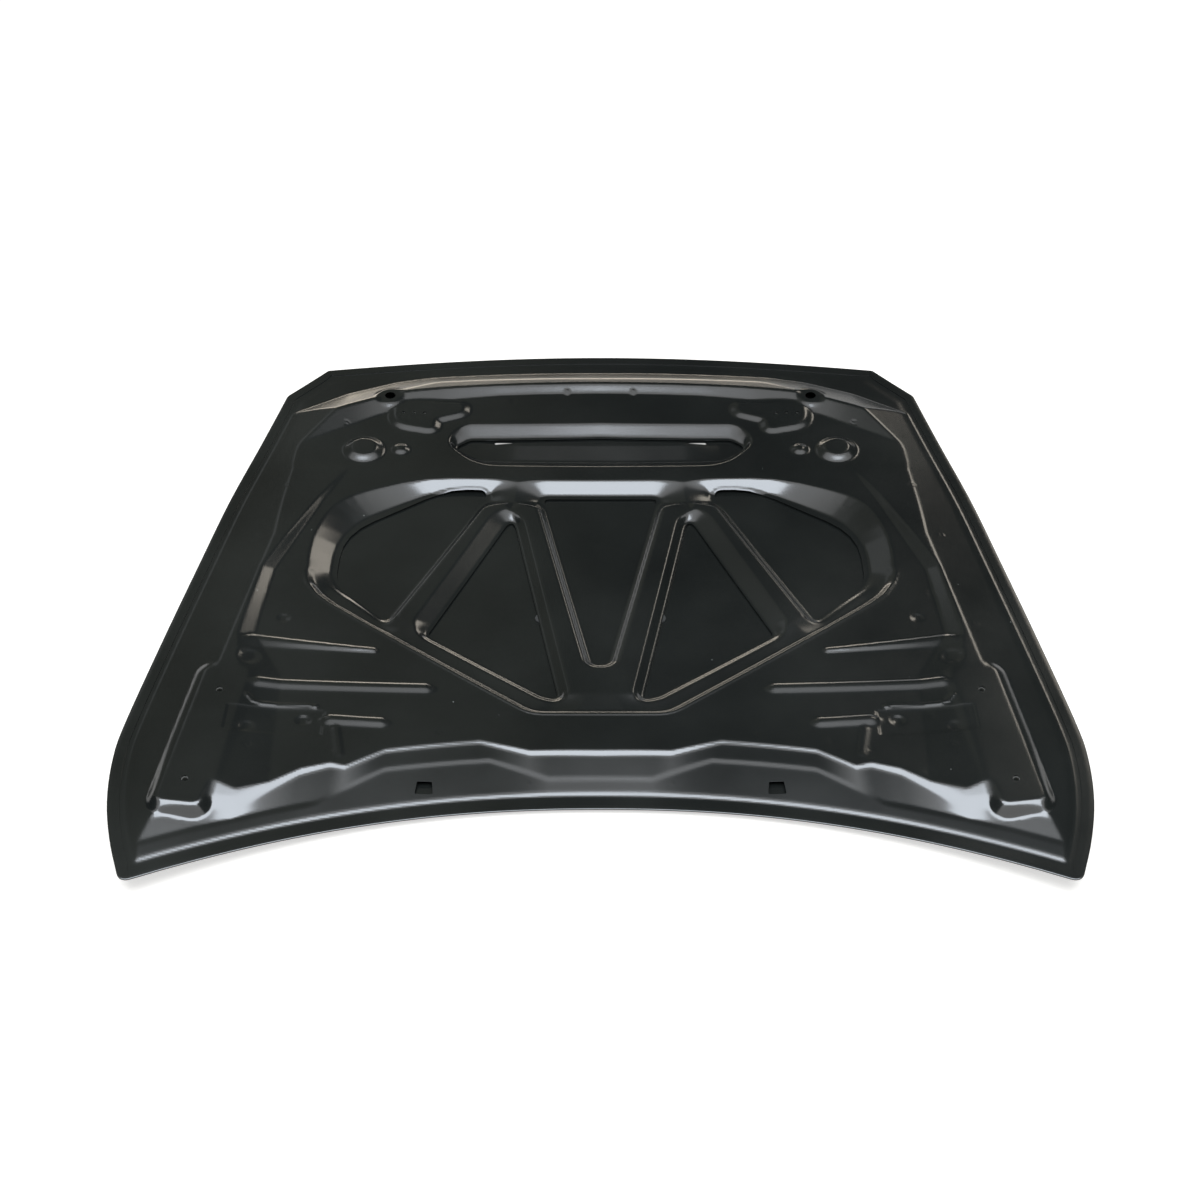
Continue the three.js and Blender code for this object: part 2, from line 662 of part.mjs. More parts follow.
function circle(x, y, radius, sides = 12) {
  return Array.from({ length: sides }, (_, i) => {
    const turn = (2 * Math.PI * i) / sides;
    return new THREE.Vector2(x + radius * Math.cos(turn), y + radius * Math.sin(turn));
  });
}

function flipped(points) {
  return points.map((p) => new THREE.Vector2(-p.x, p.y)).reverse();
}

function cutBothSides(solid, outlines) {
  for (const points of outlines) {
    solid = solid.subtract(prism(points)).subtract(prism(flipped(points)));
  }
  return solid;
}

// The skin's edge folded up and over the frame's flange, joined to both faces of the sheet
function hemmedSheet({ points, faces, borders, count }) {
  const height = 2 * SKIN_SHEET + FRAME_SHEET + 2 * HEM_GAP;
  const section = [
    [HEM_BEND, 0], [0, HEM_BEND], [0, height - HEM_BEND], [HEM_BEND, height],
    [HEM_WIDTH, height], [HEM_WIDTH, height - SKIN_SHEET], [SKIN_SHEET, height - SKIN_SHEET],
  ];
  const stations = new Map();
  outer.stations(STATION_SPACING).forEach((station) => {
    const p = station.point.clone().addScaledVector(station.inward, SKIN_SHEET);
    stations.set(placeName(p.x, p.y), station);
  });
  const all = points.slice();
  const profiles = new Map();
  for (const [p] of borders) {
    const { point, inward } = stations.get(placeName(points[p].x, points[p].y));
    const profile = [p];
    for (const [depth, up] of section) {
      const place = point.clone().addScaledVector(inward, depth);
      profile.push(all.length);
      all.push(new THREE.Vector3(place.x, place.y, crown(place.x, place.y) + up));
    }
    profile.push(p + count);
    profiles.set(p, profile);
  }
  const folds = borders.flatMap(([p, q]) => {
    const one = profiles.get(p);
    const two = profiles.get(q);
    return one.slice(1).flatMap((_, k) => [[one[k], two[k], two[k + 1]], [one[k], two[k + 1], one[k + 1]]]);
  });
  return solidFrom(all, faces.concat(folds));
}

function placeName(x, y) {
  return `${Math.round(x * 10)} ${Math.round(y * 10)}`;
}

function outerSkin() {
  const field = new PointField(CLEAR_OF_OTHERS);
  field.add(0, 0);
  for (const depth of [SKIN_SHEET, SIDE_FLANGE]) field.addRing(outer, depth, STATION_SPACING);
  const tongueRows = [TONGUE_FRONT + SLIT_DEPTH, TONGUE_FRONT, TONGUE_FRONT - TONGUE_LENGTH];
  for (const y of tongueRows) {
    const flat = TONGUE_HALF_WIDTH - TONGUE_SIDE_RAMP;
    for (const share of [0, 0.25, 0.5, 0.75, 1]) field.add(share * flat, y, CLEAR_OF_BEADS);
    field.add(TONGUE_HALF_WIDTH, y, CLEAR_OF_BEADS);
  }
  field.addField(FIELD_SPACING, FIELD_SPACING * FIELD_CLEAR_SHARE.skin);
  const border = new Outline(outer.ring(SKIN_SHEET, STATION_SPACING));
  const base = sheet(field.points, skinHeight, SKIN_SHEET, border);
  const slitFront = TONGUE_FRONT + SLIT_DEPTH;
  const slit = rounded([
    [SLIT_HALF_WIDTH, TONGUE_FRONT, SLIT_CORNER], [SLIT_HALF_WIDTH, slitFront, SLIT_CORNER],
    [-SLIT_HALF_WIDTH, slitFront, SLIT_CORNER], [-SLIT_HALF_WIDTH, TONGUE_FRONT, SLIT_CORNER],
  ]);
  return hemmedSheet(base).subtract(prism(slit));
}

function innerFrame() {
  const field = new PointField(CLEAR_OF_OTHERS);
  const edgeDepth = SKIN_SHEET + HEM_GAP;
  const besides = (x, y) => y > RAIL_FROM_Y && y < RAIL_TO_Y && x > RAIL_FROM_X;
  for (const depth of [edgeDepth, SIDE_FLANGE]) field.addRing(outer, depth, STATION_SPACING);
  const atRear = (x, y) => y < REAR_Y + REAR_RING_DEPTH && x < RAIL_FROM_X + REAR_RING_DEPTH;
  field.addRing(outer, REAR_FLANGE + REAR_FOOT, STATION_SPACING, atRear);
  for (const margin of [0, -HINGE_PAD_BLEND]) field.addRing(hingePad, margin, FINE_SPACING);
  for (const margin of [0, -STRIKER_PAD_BLEND]) field.addRing(strikerPad, margin, FINE_SPACING);
  field.addRing(outer, SIDE_FLANGE + SIDE_RAMP, STATION_SPACING, besides);
  const across = Array.from({ length: Math.floor(LINES_TO_X / LINE_SPACING) + 1 }, (_, i) => i * LINE_SPACING);
  for (const table of [SHELF_LINE, COWL_LINE]) {
    const depthAt = (x) => lineAt(table, x) * rearStretch(x);
    field.addLine(across.map((x) => new THREE.Vector2(x, rearEdge(x) + depthAt(x))));
  }
  const frontFoot = lineAt(FRONT_FOOT, 0);
  const atFront = (x, y) => y > FRONT_Y - 2 * frontFoot && x < FRONT_FOOT[1][0];
  field.addRing(outer, frontFoot, STATION_SPACING, atFront);
  for (const table of [FRONT_FOOT, FRONT_CREST, FRONT_FALL]) {
    const line = across.map((x) => new THREE.Vector2(x, frontEdge(x) - lineAt(table, x)));
    field.addLine(line.filter((p) => outer.distance(p.x, p.y) > SIDE_FLANGE + CLEAR_OF_OTHERS));
  }
  for (const depth of [JUST_OUTSIDE, BASIN_STEP]) {
    field.addRing(basin, depth, FINE_SPACING, (x, y) => depth < 0 || y < BASIN_NEAR_Y - BASIN_NEAR_BLEND);
  }
  for (const opening of openings) {
    const inBasin = (x, y) => basin.distance(x, y) > BASIN_CLEAR;
    for (const depth of [IN_THE_HOLE, -RIM_WIDTH, -RIM_WIDTH - RIB_WALL]) {
      field.addRing(opening, depth, FINE_SPACING, inBasin);
    }
  }
  field.addRing(recess, JUST_OUTSIDE, FINE_SPACING);
  for (const depth of [IN_THE_HOLE, -RIM_WIDTH]) field.addRing(outletHole, depth, FINE_SPACING);
  for (const radius of [BUFFER_PAD_RADIUS, BUFFER_PAD_RADIUS + BUFFER_PAD_BLEND]) {
    circle(...BUFFER_HOLE, radius, 8).forEach((p) => field.add(p.x, p.y));
  }
  for (const radius of [SEAT_RADIUS, SEAT_RADIUS + SEAT_SLOPE]) {
    circle(...SEAT_CENTRE, radius).forEach((p) => field.add(p.x, p.y));
  }
  const stepRows = STEP_LINE.map(([x, y], i) => ({ x, y, width: STEP_WIDTHS[i] }));
  field.addLine(stepRows.map(({ x, y }) => new THREE.Vector2(x, y)));
  field.addLine(stepRows.map(({ x, y, width }) => new THREE.Vector2(x - width, y)));
  for (const [start, end, , outerHalf, innerHalf] of BEADS) {
    for (const side of [-1, -BEAD_TOP, BEAD_TOP, 1]) {
      const row = [0, 0.2, 0.4, 0.6, 0.8, 1].map((t) => {
        const off = side * lerp(outerHalf, innerHalf, t);
        return new THREE.Vector2(lerp(start[0], end[0], t), lerp(start[1], end[1], t) + off);
      });
      field.addLine(row, CLEAR_OF_BEADS);
    }
  }
  field.addField(FIELD_SPACING, FIELD_SPACING * FIELD_CLEAR_SHARE.frame);
  const border = new Outline(outer.ring(edgeDepth, STATION_SPACING));
  let solid = closedSheet(sheet(field.points, frameHeight, FRAME_SHEET, border));
  for (const hole of [centreOpening, outletHole]) solid = solid.subtract(prism(hole.points));
  const [clipX, clipY] = GRILLE_CLIP_HOLE;
  const [clipHalf, clipDepth] = GRILLE_CLIP_HALF_SIZE;
  const clipNarrow = clipHalf * GRILLE_CLIP_TAPER;
  const clip = rounded([
    [clipX - clipHalf, clipY - clipDepth], [clipX + clipHalf, clipY - clipDepth],
    [clipX + clipNarrow, clipY + clipDepth], [clipX - clipNarrow, clipY + clipDepth],
  ].map((corner) => [...corner, GRILLE_CLIP_CORNER]));
  return cutBothSides(solid, [
    sideOpening.points, rearOpening.points, clip,
    circle(...BUFFER_HOLE, BUFFER_HOLE_RADIUS),
    ...HINGE_BOLTS.map(([x, y]) => circle(x, y, BOLT_HOLE_RADIUS, 10)),
    ...STRIKER_BOLTS.map(([x, y]) => circle(x, y, STRIKER_HOLE_RADIUS, 8)),
  ]);
}

// A flat patch under a pad of the frame, with the pad's bolt holes
function patch(outline, facetAt, bolts, holeRadius) {
  const shape = new THREE.Shape(outline.points);
  bolts.forEach(([x, y]) => shape.holes.push(new THREE.Path(circle(x, y, holeRadius, 10))));
  const geometry = new THREE.ExtrudeGeometry(shape, { depth: PATCH_SHEET, bevelEnabled: false });
  return tiltedUnder(geometry, facetAt, SEAT_GAP + PATCH_SHEET);
}

// A square weld nut under a patch
function nut([x, y], facetAt, flats, height, holeRadius) {
  const half = flats / 2;
  const cut = flats * NUT_CORNER_SHARE;
  const shape = new THREE.Shape(rounded([
    [x - half, y - half], [x + half, y - half], [x + half, y + half], [x - half, y + half],
  ].map((corner) => [...corner, cut]), 2));
  shape.holes.push(new THREE.Path(circle(x, y, holeRadius, 10)));
  const geometry = new THREE.ExtrudeGeometry(shape, { depth: height, bevelEnabled: false });
  return tiltedUnder(geometry, facetAt, 2 * SEAT_GAP + PATCH_SHEET + height);
}

// Shifts each vertex up to the facet, less a drop
function tiltedUnder(geometry, facetAt, drop) {
  const position = geometry.getAttribute('position');
  for (let i = 0; i < position.count; i++) {
    const z = facetAt(position.getX(i), position.getY(i)) - drop + position.getZ(i);
    position.setZ(i, z);
  }
  return geometry;
}

// A dab of mastic between the skin and a rim of the frame
function masticDab([x, y]) {
  const floor = facet([x, y], SKIN_SHEET + SEAT_GAP);
  const height = RIM_LEVEL - 2 * SEAT_GAP;
  const geometry = new THREE.ExtrudeGeometry(new THREE.Shape(circle(x, y, MASTIC_RADIUS, 10)), {
    depth: height, bevelEnabled: false,
  });
  return tiltedUnder(geometry, floor, 0);
}

function geometryOf(solid) {
  const { vertProperties, triVerts } = solid.getMesh();
  const geometry = new THREE.BufferGeometry();
  geometry.setAttribute('position', new THREE.BufferAttribute(new Float32Array(vertProperties), 3));
  geometry.setIndex(new THREE.BufferAttribute(new Uint32Array(triVerts), 1));
  geometry.computeVertexNormals();
  return geometry;
}

const primer = new THREE.MeshStandardMaterial({ color: 0x151719, roughness: 0.38, metalness: 0.0 });
const plated = new THREE.MeshStandardMaterial({ color: 0x8d8f8c, roughness: 0.45, metalness: 0.9 });
const mastic = new THREE.MeshStandardMaterial({ color: 0x2a251f, roughness: 0.8, metalness: 0.0 });

const group = new THREE.Group();

function put(name, geometry, material, side = 1) {
  const placed = side < 0 ? mirroredGeometry(geometry) : geometry;
  const mesh = new THREE.Mesh(placed, material);
  mesh.name = name;
  group.add(mesh);
}

function mirroredGeometry(geometry) {
  const copy = geometry.clone().scale(-1, 1, 1);
  const count = copy.getAttribute('position').count;
  copy.setIndex(Array.from({ length: count }, (_, i) => i - (i % 3) + [0, 2, 1][i % 3]));
  return copy;
}

put('outer_skin', geometryOf(outerSkin()), primer);
put('inner_frame', geometryOf(innerFrame()), primer);

const hingePatch = hingePadOutline(PATCH_MARGIN);
const strikerPatch = new Outline(strikerPad.ring(PATCH_MARGIN, CLOSE_SPACING));
for (const [side, word] of [[1, 'right'], [-1, 'left']]) {
  const base = patch(hingePatch, hingeFacet, HINGE_BOLTS, BOLT_HOLE_RADIUS);
  put(`hinge_reinforcement_${word}`, base, primer, side);
  HINGE_BOLTS.forEach((bolt, i) => {
    const shape = nut(bolt, hingeFacet, HINGE_NUT_FLATS, HINGE_NUT_HEIGHT, HINGE_THREAD_RADIUS);
    put(`hinge_nut_${word}_${i + 1}`, shape, plated, side);
  });
  const plate = patch(strikerPatch, strikerFacet, STRIKER_BOLTS, STRIKER_HOLE_RADIUS);
  put(`striker_reinforcement_${word}`, plate, primer, side);
  STRIKER_BOLTS.forEach((bolt, i) => {
    const shape = nut(bolt, strikerFacet, STRIKER_NUT_FLATS, STRIKER_NUT_HEIGHT, STRIKER_THREAD_RADIUS);
    put(`striker_nut_${word}_${i + 1}`, shape, plated, side);
  });
  RIM_DABS.flat().forEach((place, i) => {
    put(`mastic_dab_${word}_${i + 1}`, masticDab(place), mastic, side);
  });
}

// The origin is under the middle of the box
const reach = outer.points.map((p) => p.y);
group.position.y = -(Math.max(...reach) + Math.min(...reach)) / 2;

export default group;
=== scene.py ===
"""A car bonnet lying on its outer skin with the underside up, as fine pressed sheet.

Lengths are millimetres in the bonnet's own plan, x across and y towards its front edge.
place() brings them to metres, with the middle of the plan at the origin.
"""

import math

import bpy
import numpy as np
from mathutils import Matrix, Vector, kdtree
from mathutils.geometry import delaunay_2d_cdt


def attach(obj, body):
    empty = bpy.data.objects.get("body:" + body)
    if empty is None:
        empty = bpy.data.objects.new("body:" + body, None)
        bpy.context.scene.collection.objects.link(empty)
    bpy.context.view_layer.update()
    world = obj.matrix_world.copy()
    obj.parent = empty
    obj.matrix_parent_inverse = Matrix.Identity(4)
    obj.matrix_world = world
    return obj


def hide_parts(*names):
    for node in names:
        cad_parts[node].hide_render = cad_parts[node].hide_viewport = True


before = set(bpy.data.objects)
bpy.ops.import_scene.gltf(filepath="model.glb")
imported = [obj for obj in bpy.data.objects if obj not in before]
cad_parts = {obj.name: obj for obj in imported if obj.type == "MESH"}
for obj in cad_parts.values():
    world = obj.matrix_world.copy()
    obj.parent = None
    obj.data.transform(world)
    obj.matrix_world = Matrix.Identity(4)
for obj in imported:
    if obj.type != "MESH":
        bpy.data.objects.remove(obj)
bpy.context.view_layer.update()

MM = 0.001
PLAN_SHIFT = 16.342
TINY = 0.001

# Sheet and clearances
SKIN_SHEET = 0.8
FRAME_SHEET = 0.8
HEM_GAP = 0.4
HEM_WIDTH = 18.0
HEM_STACK = 2 * SKIN_SHEET + FRAME_SHEET + 2 * HEM_GAP
HEM_FIT = 0.97
HEM_SHRINK = 0.93
HEM_TRIES = 12
HEM_SMOOTHINGS = 6

# Crown of the outer skin
SIDE_RISE = 30.0
FRONT_RISE = 24.0
REAR_RISE = 10.0
CROWN_HALF_WIDTH = 748.0
CROWN_FRONT = 660.0
CROWN_REAR = 600.0

# Outline, right half
FRONT_Y = 652.0
FRONT_BOW = 55.0
FRONT_CORNER_X = 536.0
SHOULDER = (606, 513)
SIDE_CURVE = [
    (636, 365), (669, 199), (694, 31), (722, -175), (745, -370), (748, -450), (739, -534), (719, -612),
]
REAR_CORNER = (690, -690)
REAR_Y = -526.0
REAR_BOW = 164.0
REAR_BOW_POWER = 2.2
FRONT_CORNER_RADIUS = 10
SHOULDER_RADIUS = 24
REAR_CORNER_RADIUS = 16

# Heights of the inner frame over the skin; a table gives a value at each distance from the middle
FLANGE_LIFT = 1.1
FLANGE_LIFT_WIDTH = 12.0
RIM_LEVEL = 3.0
RIB_LEVEL = 12.0
FRONT_LEVEL = 15.0
PLATEAU_LEVEL = 18.0
RAIL_LEVEL = 26.0
CREST_LEVEL = 26.0
SHELF_FOOT_LEVEL = 2.4
SHELF_LEVELS = [(0, 6.6), (80, 6.6), (172, 11.0), (332, 11.0), (430, 5.6), (600, 4.8)]
SHELF_STEP = [(0, 1.5), (380, 1.5), (450, 0.0)]
SHELF_STEP_WIDTH = 6.0
CREST_STEP = [(0, 3.8), (110, 3.4), (200, 2.3), (390, 2.6), (450, 4.0), (530, 7.0)]
CREST_SLOPE = 0.3
CREST_STEP_WIDTH = [(0, 7), (390, 6), (450, 10), (530, 18)]
FRONT_BLEND_Y = 280.0
FRONT_BLEND = 60.0

# Edge channels of the frame, as distances in from the outline
SIDE_FLANGE = 27.0
SIDE_RAMP = 86.0
FRONT_FOOT = [(0, 48), (330, 46), (400, 53), (489, 76), (600, 130)]
FRONT_CREST = [(0, 103), (312, 101), (388, 112), (480, 141), (600, 186)]
FRONT_FALL = [(0, 127), (196, 128), (273, 133), (358, 147), (422, 168), (476, 194), (600, 252)]
REAR_FLANGE = 25.0
REAR_FOOT = 5.0
SHELF_LINE = [(0, 61), (80, 61), (172, 102), (332, 103), (430, 60), (600, 61)]
COWL_LINE = [
    (0, 109), (110, 111), (188, 139), (335, 138), (392, 115), (415, 126), (459, 124), (550, 90), (600, 112),
]

# Depressed middle of the frame, its openings and their ribs: x, y, corner radius
BASIN = [
    (0, 267, 0), (345, 267, 400), (480, 210, 400), (514, 110, 400),
    (514, -39, 150), (112, -335, 60), (0, -335, 0),
]
SIDE_OPENING = [(202, 246, 15), (286, 246, 120), (457, 118, 130), (457, -16, 70), (362, -104, 8)]
REAR_OPENING = [(158, 176, 12), (290, -140, 12), (94, -280, 10), (68, -288, 8)]
CENTRE_OPENING = [(104, 226, 10), (12, -206, 12), (-12, -206, 12), (-104, 226, 10)]
RIM_WIDTH = 5.0
RIB_WALL = 11.0
RIB_LONG_WALL = 28.0
LONG_WALL_FROM_Y = -150.0
BAND_SHARE = 0.12
BAND_STEEPEST = 0.5
RIB_BLEND = 40.0
BASIN_BAND = 5.0
BASIN_BAND_WIDTH = 40.0
BASIN_STEP = 12.0
BASIN_NEAR_Y = 10.0
BASIN_NEAR_BLEND = 70.0

# Air outlet
OUTLET_RECESS = [(0, 436, 0), (262, 430, 40), (292, 378, 60), (232, 305, 200), (0, 304, 0)]
OUTLET_HOLE = [(0, 404, 0), (246, 396, 18), (276, 372, 16), (226, 338, 40), (0, 336, 0)]
TONGUE_HALF_WIDTH = 226.0
TONGUE_FRONT = 385.0
TONGUE_LENGTH = 46.0
TONGUE_RISE = 8.5
TONGUE_SIDE_RAMP = 70.0
SLIT_HALF_WIDTH = 200.0
SLIT_DEPTH = 9.0
SLIT_CORNER = 4

# Step between the side rail and the lower middle, from front to rear
STEP_LINE = [(462, 300), (508, 200), (547, 96), (582, 0), (593, -104), (598, -170), (584, -260), (590, -520)]
STEP_WIDTHS = [8, 11, 16, 22, 26, 28, 70, 90]
STEP_END_RAMP = 210.0

# Raised beads: outer end, inner end, height, half width at each end
BEADS = [
    ((572, -174), (372, -193), 3.2, 17, 6),
    ((548, -276), (280, -278), 3.2, 14, 13),
    ((426, -353), (345, -357), 3.2, 14, 13),
]
BEAD_FAR_SHARE = 0.6
BEAD_NEAR_SHARE = 1.35
BEAD_STEEPNESS = 1.15
BEAD_BLEND = 4.0

# Small beads: line, height, half width
SMALL_BEADS = [
    ([(560, -312), (550, -324), (536, -328), (462, -326), (452, -328)], 1.5, 7),
    ([(414, -378), (403, -430)], 0.9, 11),
]

# A shallow rectangle pressed in beside the hinge: outer, inner, rear and front limits, depth, wall
SHALLOW = (590, 434, -393, -335, 0.9, 5.0)

# Round dimples, positive upwards: place, height, top radius, wall
DIMPLES = [
    ((530, -122), -1.3, 4.0, 9.0),
    ((553, -380), -1.1, 4.0, 11.0),
    ((468, -359), -1.7, 4.0, 11.0),
    ((572, -222), -2.0, 8.0, 14.0),
    ((373, 350), 4.6, 4.0, 16.0),
    ((64, 526), 1.6, 2.0, 7.0),
    ((110, -476), 0.7, 0.5, 2.5),
]

# Spot weld marks, shallow rings: places, radius, depth
WELDS = [
    (621, -146), (545, -419), (481, 422), (588, -215), (520, -354), (420, -420), (168, 500),
    (534, 312), (566, 230), (598, 90), (560, -60), (500, -470), (360, -400), (250, -380),
]
WELD_RADIUS = 4.2
WELD_DEPTH = 0.28
WELD_RING = 1.6

# A low lip round the near side of the depressed middle
LIP_HEIGHT = 1.4
LIP_HALF_WIDTH = 7.0

# Pads, seats and holes
HINGE_BOLTS = [(606, -305), (626, -501)]
HINGE_PAD_HALF_WIDTH = 34.0
HINGE_PAD_END = 48.0
HINGE_PAD_CORNER = 16.0
HINGE_PAD_BLEND = 16.0
BOLT_HOLE_RADIUS = 5.5
STRIKER_PAD = [
    (262, 486, 16), (392, 486, 40), (392, 424, 40), (316, 408, 26), (316, 440, 18), (262, 462, 16),
]
STRIKER_PAD_LEVEL = 20.0
STRIKER_PAD_BLEND = 14.0
STRIKER_BOLTS = [(336, 455), (356, 455), (376, 455)]
STRIKER_HOLE_RADIUS = 3.2
SEAT_CENTRE = (441, 345)
SEAT_RADIUS = 23.0
SEAT_SLOPE = 16.0
SEAT_LEVEL = 24.0
BUFFER_HOLE = (405, 501)
BUFFER_HOLE_RADIUS = 10.0
BUFFER_PAD_RADIUS = 20.0
BUFFER_PAD_LEVEL = 23.0
BUFFER_PAD_BLEND = 10.0
CLIP_HOLE = (269, -488)
CLIP_HALF_WIDTH = 14.0
CLIP_HALF_DEPTH = 12.0
CLIP_TAPER = 0.8
CLIP_CORNER = 3

# Fineness of the meshes
RASTER = 2.0
CREASE_BLUR = 2.2
TONGUE_BLUR = 1.6
RASTER_X = (-24.0, 780.0)
RASTER_Y = (-740.0, 690.0)
CONTOUR_SPACING = 4.0
CONTOUR_CLEARANCE = 0.55 * CONTOUR_SPACING
RING_CLEARANCE = 2.4
HEM_SPACING = 6.0
FRAME_EDGE_DEPTH = 8.0
SKIN_EDGE_DEPTH = 4.0
FLATNESS = 0.045
FINEST_FLATNESS = 0.22
BACK_FLATNESS = 0.4
BACK_CLEARANCE = 3
BACK_DROP = 0.1
OUTLINE_SPACING = 18.0
SHARP_ANGLE = math.radians(40)


def lerp(a, b, t):
    return a + (b - a) * t


def ramp(value):
    return np.clip(value, 0.0, 1.0)


def smooth(value):
    t = ramp(value)
    return t * t * (3 - 2 * t)


def crown(x, y):
    """Height of the skin's lower face."""
    across = np.abs(x) / CROWN_HALF_WIDTH
    front = np.maximum(y, 0) / CROWN_FRONT
    rear = np.minimum(y, 0) / CROWN_REAR
    side = SIDE_RISE * (0.6 * across**2 + 0.4 * across**4)
    return side + FRONT_RISE * 0.5 * (front**2 + front**4) + REAR_RISE * rear**2


def front_edge(x):
    return FRONT_Y - FRONT_BOW * (np.abs(x) / FRONT_CORNER_X) ** 2


def rear_edge(x):
    return REAR_Y - REAR_BOW * (np.abs(x) / REAR_CORNER[0]) ** REAR_BOW_POWER


def rear_stretch(x):
    return np.hypot(1, rear_edge(np.abs(x) + 1) - rear_edge(np.abs(x)))


def line_at(table, x):
    return np.interp(np.abs(x), [p[0] for p in table], [p[1] for p in table])


def rounded(corners, turn=12.0):
    """Corner points with radii turned into an outline with arcs, one point for each turn in degrees."""
    points = []
    for i, corner in enumerate(corners):
        x, y, radius = (*corner, 0)[:3]
        here = np.array((x, y), float)
        if radius == 0:
            points.append(here)
            continue
        back = np.array(corners[i - 1][:2], float) - here
        ahead = np.array(corners[(i + 1) % len(corners)][:2], float) - here
        room = 0.48 * min(np.linalg.norm(back), np.linalg.norm(ahead))
        back /= np.linalg.norm(back)
        ahead /= np.linalg.norm(ahead)
        half = math.acos(np.clip(back @ ahead, -1, 1)) / 2
        reach = min(radius / math.tan(half), room)
        start, end = here + back * reach, here + ahead * reach
        steps = max(3, round(math.degrees(math.pi - 2 * half) / turn))
        for k in range(steps + 1):
            t = k / steps
            points.append((1 - t) ** 2 * start + 2 * t * (1 - t) * here + t**2 * end)
    return np.array(points)


def mirrored(half):
    return half + [(-x, y, *rest) for x, y, *rest in reversed(half) if x > 0]


def flipped(points):
    return points[::-1] * (-1, 1)


def turned_left(points):
    """The outline with its inside on the left of each step."""
    x, y = points.T
    area = np.sum(x * np.roll(y, -1) - np.roll(x, -1) * y)
    return points if area > 0 else points[::-1]


def spline(points, spacing):
    """Even points on the curve through the given ones."""
    points = np.array(points, float)
    padded = np.vstack([points[:1], points, points[-1:]])
    fine = []
    for a, b, c, d in zip(padded, padded[1:], padded[2:], padded[3:]):
        for t in np.linspace(0, 1, 40, endpoint=False):
            one, two = (c - a) / 2, (d - b) / 2
            fine.append(
                (2 * b - 2 * c + one + two) * t**3 + (-3 * b + 3 * c - 2 * one - two) * t**2 + one * t + b
            )
    fine.append(points[-1])
    fine = np.array(fine)
    along = np.r_[0, np.cumsum(np.linalg.norm(np.diff(fine, axis=0), axis=1))]
    even = np.linspace(0, along[-1], round(along[-1] / spacing) + 1)
    return np.column_stack([np.interp(even, along, fine[:, k]) for k in (0, 1)])


def bonnet_outline(spacing):
    half = [(x, front_edge(x), 0) for x in np.arange(0, FRONT_CORNER_X - spacing, spacing)]
    half.append((FRONT_CORNER_X, front_edge(FRONT_CORNER_X), FRONT_CORNER_RADIUS))
    half.append((*SHOULDER, SHOULDER_RADIUS))
    side = spline([SHOULDER, *SIDE_CURVE, REAR_CORNER], spacing)
    half += [(x, y, 0) for x, y in side[4:-3]]
    half.append((*REAR_CORNER, REAR_CORNER_RADIUS))
    steps = round(REAR_CORNER[0] / spacing)
    half += [(x, rear_edge(x), 0) for x in np.linspace(REAR_CORNER[0], 0, steps + 1)[3:]]
    return turned_left(rounded(mirrored(half)))


def contains(outline, x, y):
    inside = np.zeros(np.shape(x), bool)
    for (ax, ay), (bx, by) in zip(outline, np.roll(outline, -1, 0)):
        if ay != by:
            inside ^= ((ay > y) != (by > y)) & (x < ax + (y - ay) / (by - ay) * (bx - ax))
    return inside


def distance(outline, x, y):
    """Signed distance to an outline, positive inside."""
    nearest = np.full(np.shape(x), np.inf)
    for (ax, ay), (bx, by) in zip(outline, np.roll(outline, -1, 0)):
        ex, ey = bx - ax, by - ay
        t = ramp(((x - ax) * ex + (y - ay) * ey) / (ex * ex + ey * ey))
        nearest = np.minimum(nearest, (x - ax - t * ex) ** 2 + (y - ay - t * ey) ** 2)
    return np.where(contains(outline, x, y), 1, -1) * np.sqrt(nearest)


def from_line(x, y, start, end):
    ex, ey = end[0] - start[0], end[1] - start[1]
    t = ramp(((x - start[0]) * ex + (y - start[1]) * ey) / (ex * ex + ey * ey))
    return np.hypot(x - start[0] - t * ex, y - start[1] - t * ey)


def hinge_pad_outline():
    first, last = (np.array(p, float) for p in HINGE_BOLTS)
    along = (last - first) / np.linalg.norm(last - first)
    across = np.array((-along[1], along[0]))
    reach, half = along * HINGE_PAD_END, across * HINGE_PAD_HALF_WIDTH
    corners = [first - reach - half, first - reach + half, last + reach + half, last + reach - half]
    return rounded([(*corner, HINGE_PAD_CORNER) for corner in corners])


def facet(middle, level, x, y):
    """A flat face through a place, tilted as the crown is there."""
    mx, my = middle
    slope_x = crown(mx + 0.5, my) - crown(mx - 0.5, my)
    slope_y = crown(mx, my + 0.5) - crown(mx, my - 0.5)
    return crown(mx, my) + level + slope_x * (x - mx) + slope_y * (y - my)


outer = bonnet_outline(OUTLINE_SPACING)
basin = rounded(mirrored(BASIN))
side_opening = turned_left(rounded(SIDE_OPENING))
rear_opening = turned_left(rounded(REAR_OPENING))
centre_opening = turned_left(rounded(CENTRE_OPENING))
recess = rounded(mirrored(OUTLET_RECESS))
outlet_hole = turned_left(rounded(mirrored(OUTLET_HOLE)))
striker_pad = rounded(STRIKER_PAD)
hinge_pad = hinge_pad_outline()


